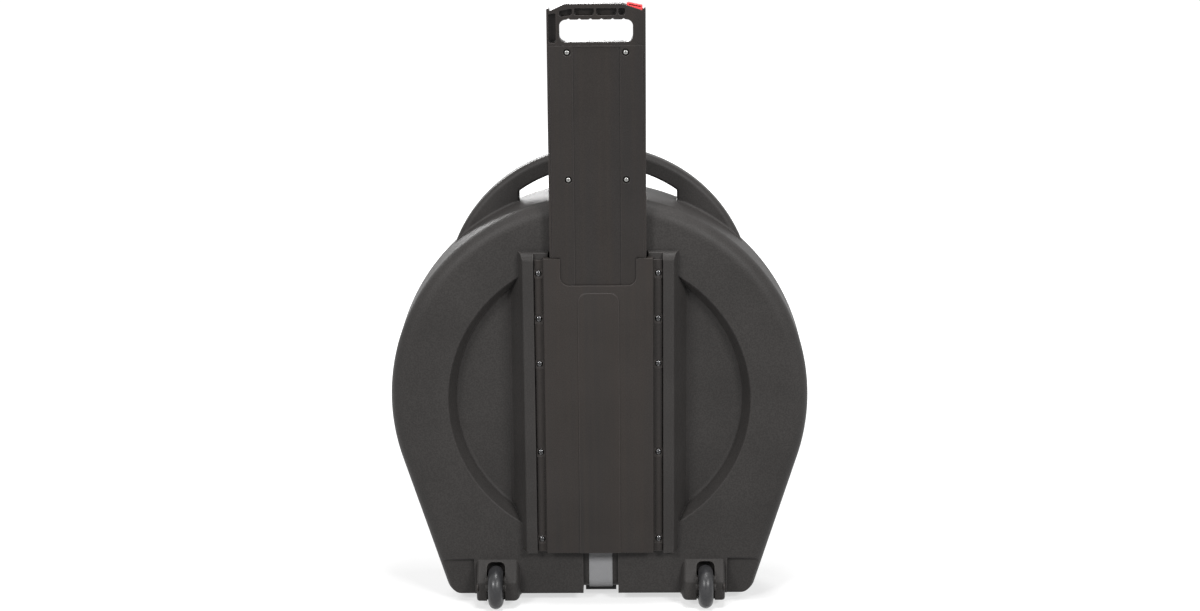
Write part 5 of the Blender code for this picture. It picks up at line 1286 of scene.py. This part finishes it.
# Tyres
def make_tyre(label):
    low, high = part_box("tyre_" + label)
    half = (high.x - low.x) / 2
    centre = ((low.x + high.x) / 2, WHEEL_Y, WHEEL_RADIUS)
    seat = 0.0223
    crown, shoulder = 0.0120, 0.0118
    side = [(seat, half - 0.001), (seat + 0.002, half - 0.0006)]
    side += [(WHEEL_RADIUS - crown * down, half - shoulder * along) for along, down in round_corner(9)]
    profile = side + [(radius, -height) for radius, height in reversed(side)]
    tyre = turned("rubber_tyre_" + label, profile, centre, (1, 0, 0), 96, closed=True)
    return settle(tyre, "wheel_" + label, "tyre_rubber", "tyre_" + label)


# Straps
STRAP_HALF = 0.019
STRAP_THICKNESS = 0.002
STRAP_BASE_END = 0.038
STRAP_LID_START = 0.0743


def make_strap(label, body, cut_start, cut_end):
    """The part of the strap's loop that lies on one shell, without what lies between two depths."""
    outlines = [channel_core(GAP + STRAP_THICKNESS), channel_core(GAP)]
    strap = plate("woven_strap_" + label, outlines, "YZ", -STRAP_HALF, STRAP_HALF)
    far = 2 * STRAP_HALF
    cut(strap, block("other_part", (-far, cut_start, 0), (far, cut_end, TOP_Z + BEYOND)))
    return settle(strap, body, "webbing", "strap_" + label, edge=0.0007)


# Padding
def crowned(share, flatness=8):
    """A pad's height at a share of its width, both from 0 to 1: full in the middle, round at its edges."""
    return max(1 - abs(2 * share - 1) ** flatness, 0) ** 0.45


def make_pad_ring(name, node, body, out):
    """A flat ring of covered foam with a sewn seam round its middle."""
    low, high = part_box(node)
    outer = (high.x - low.x) / 2
    hole = 0.048 if body == "case" else 0.030
    thickness = high.y - low.y
    border = 0.0015
    seam_depth, seam_width = 0.0028, 0.0035
    steps = 72
    profile = []
    for step in range(steps + 1):
        radius = outer + (hole - outer) * step / steps
        share = (radius - hole) / (outer - hole)
        seam = seam_depth * math.exp(-(((radius - (hole + outer) / 2) / seam_width) ** 2))
        profile.append((radius, border + (thickness - border - seam) * crowned(share, 16)))
    profile += [(hole, 0), (outer, 0)]
    floor = (low.y if out > 0 else high.y) - BACK_FACE
    ring = turned(name, profile, (0, floor, CENTRE_Z), (0, out, 0), 120, closed=True)
    return settle(ring, body, "foam", node)


def make_wall_pad(label, sign):
    """A curved strip of covered foam along the side wall."""
    outer = CASE_RADIUS - WALL - GAP
    thickness = 0.012
    low_y, high_y = (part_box("wall_pad_" + label)[side].y - BACK_FACE for side in (0, 1))
    start = -SIDE_LEAN
    end = math.acos((CHANNEL_HALF + WALL + 2 * GAP) / (outer - thickness))
    border = 0.001
    rings = []
    steps, side_steps = 90, 18
    for step in range(steps + 1):
        angle = start + (end - start) * step / steps
        height = thickness * max(crowned(step / steps, 40), 0.12)
        ring = [(outer, low_y), (outer, high_y)]
        for side in range(side_steps + 1):
            share = 1 - side / side_steps
            rise = border + (height - border) * crowned(share)
            ring.append((outer - rise, low_y + (high_y - low_y) * share))
        rings.append([(sign * r * math.cos(angle), y, CENTRE_Z + r * math.sin(angle)) for r, y in ring])
    pad = loft("covered_wall_pad_" + label, rings)
    return settle(pad, "case", "foam", "wall_pad_" + label)


def make_felt(name, node, body):
    low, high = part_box(node)
    outer = (high.x - low.x) / 2
    thickness = high.y - low.y
    bore = 0.0043
    edge = 0.0018
    curve = [(outer - edge * down, thickness - edge * along) for along, down in round_corner(5)]
    lower = [(radius, thickness - height) for radius, height in reversed(curve)]
    profile = curve + lower + [(bore, 0.0004), (bore, thickness - 0.0004)]
    felt_ring = turned(name, profile, (0, low.y - BACK_FACE, CENTRE_Z), (0, 1, 0), 48, closed=True)
    return settle(felt_ring, body, "felt", node)


# Centre post and its wing nut
def make_post():
    """A threaded rod on a round flange."""
    low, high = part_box("centre_post")
    start = low.y - BACK_FACE
    length = high.y - low.y
    pitch = 0.00125
    radius = 0.004
    thread_depth = 0.0007
    thread_start = 0.006
    steps = 24
    rows = 6
    plain_rows, plain_pitch = 8, 0.0005
    tip_rows, tip_taper = 5, 0.0012
    count = int((length - thread_start - 0.001) / pitch * rows)
    rings = []
    for row in range(-plain_rows, count + 1):
        height = thread_start + max(row, 0) * pitch / rows + min(row, 0) * plain_pitch
        taper = tip_taper * max(row - count + tip_rows, 0) / tip_rows
        ring = []
        for step in range(steps):
            angle = 2 * math.pi * step / steps
            phase = (row / rows - step / steps) % 1
            depth = thread_depth * (1 - abs(2 * phase - 1)) if row > 0 else 0.0
            reach = radius - depth - taper
            ring.append((reach * math.cos(angle), start + height, CENTRE_Z + reach * math.sin(angle)))
        rings.append(ring)
    post = loft("threaded_post", rings)
    foot = (0, start, CENTRE_Z)
    outer, thickness = 0.040, 0.004
    profile = [(0, thickness), (0.008, thickness), (outer - 0.0008, thickness), (outer, thickness - 0.0008)]
    profile += [(outer, 0.0003), (outer - 0.0003, 0), (0, 0)]
    flange = turned("flange", profile, foot, (0, 1, 0), 72)
    profile = [(0, 0.008), (0.0052, 0.007), (0.0075, thickness), (0.0075, 0.001), (0, 0.001)]
    neck = turned("neck", profile, foot, (0, 1, 0), 36)
    return settle(join(post, flange, neck), "case", "bright_steel", "centre_post")


def make_wing_nut():
    low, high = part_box("wing_nut")
    start = low.y - BACK_FACE
    tall = 0.010
    bore = 0.0046
    thickness = 0.0038
    profile = [(0.0086, 0), (0.0088, 0.001), (0.0070, tall - 0.001), (0.0064, tall), (bore, tall), (bore, 0)]
    hub = turned("cast_wing_nut", profile, (0, start, CENTRE_Z), (0, 1, 0), 40, closed=True)
    ear = [
        (0.0055, start + 0.002, 0),
        (0.0120, start + 0.002, 0.004),
        (0.0220, start + 0.0065, 0.004),
        (0.0220, start + 0.0158, 0.0045),
        (0.0135, start + 0.0158, 0.0045),
        (0.0100, start + 0.0085, 0.002),
        (0.0055, start + 0.0085, 0),
    ]
    for label, sign in sides():
        outline = [(sign * x, y) for x, y in rounded(ear)]
        wing = plate("wing_" + label, [outline], "XY", CENTRE_Z - thickness / 2, CENTRE_Z + thickness / 2)
        join(hub, round_edges(wing, 0.0009, 3, 50))
    return settle(hub, "wing_nut", "bright_steel", "wing_nut")


# Buckles
def make_catch(label, out):
    """The ribbed push catch of a buckle."""
    low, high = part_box("buckle_catch_" + label)
    near, far = low.y - BACK_FACE, high.y - BACK_FACE
    floor, top = (low.z, high.z) if out > 0 else (high.z, low.z)
    valley = top - out * 0.0008
    margin = 0.0015
    outline = [(near, floor), (near, valley)]
    count = 5
    pitch = (far - near - 2 * margin) / count
    for number in range(count):
        start = near + margin + number * pitch
        outline += [(start, valley), (start + 0.25 * pitch, top), (start + 0.75 * pitch, top)]
    outline += [(far - margin, valley), (far, valley), (far, floor)]
    catch = plate("ribbed_catch_" + label, [outline], "YZ", low.x, high.x)
    return settle(catch, "catch_" + label, "buckle_plastic", "buckle_catch_" + label, edge=0.0002)


make_base_shell()
make_lid_shell()
make_housing_cover()
make_handle_frame()
make_handle_plate()
make_button()
make_spring()
for number in range(1, 11):
    name, node = f"cross_screw_{number:02d}", f"housing_screw_{number:02d}"
    make_cross_screw(name, node, "case", "black_steel", 0.0028, 0.9 * number)
for number in range(1, 5):
    name, node = f"plate_screw_{number}", f"handle_screw_{number}"
    make_cross_screw(name, node, "pull_handle", "bright_steel", SEAT_DEPTH, 1.3 * number)
for label, _ in sides():
    make_tyre(label)
make_strap("base", "case", STRAP_BASE_END, FACE_Y + BEYOND)
make_strap("lid", "lid", -BEYOND, STRAP_LID_START)
make_pad_ring("covered_base_pad", "base_pad", "case", 1)
make_pad_ring("covered_lid_pad", "lid_pad", "lid", -1)
for label, sign in sides():
    make_wall_pad(label, sign)
make_felt("felt_ring_lower", "lower_felt", "case")
make_felt("felt_ring_upper", "upper_felt", "clamp")
make_post()
make_wing_nut()
make_catch("top", 1)
make_catch("bottom", -1)
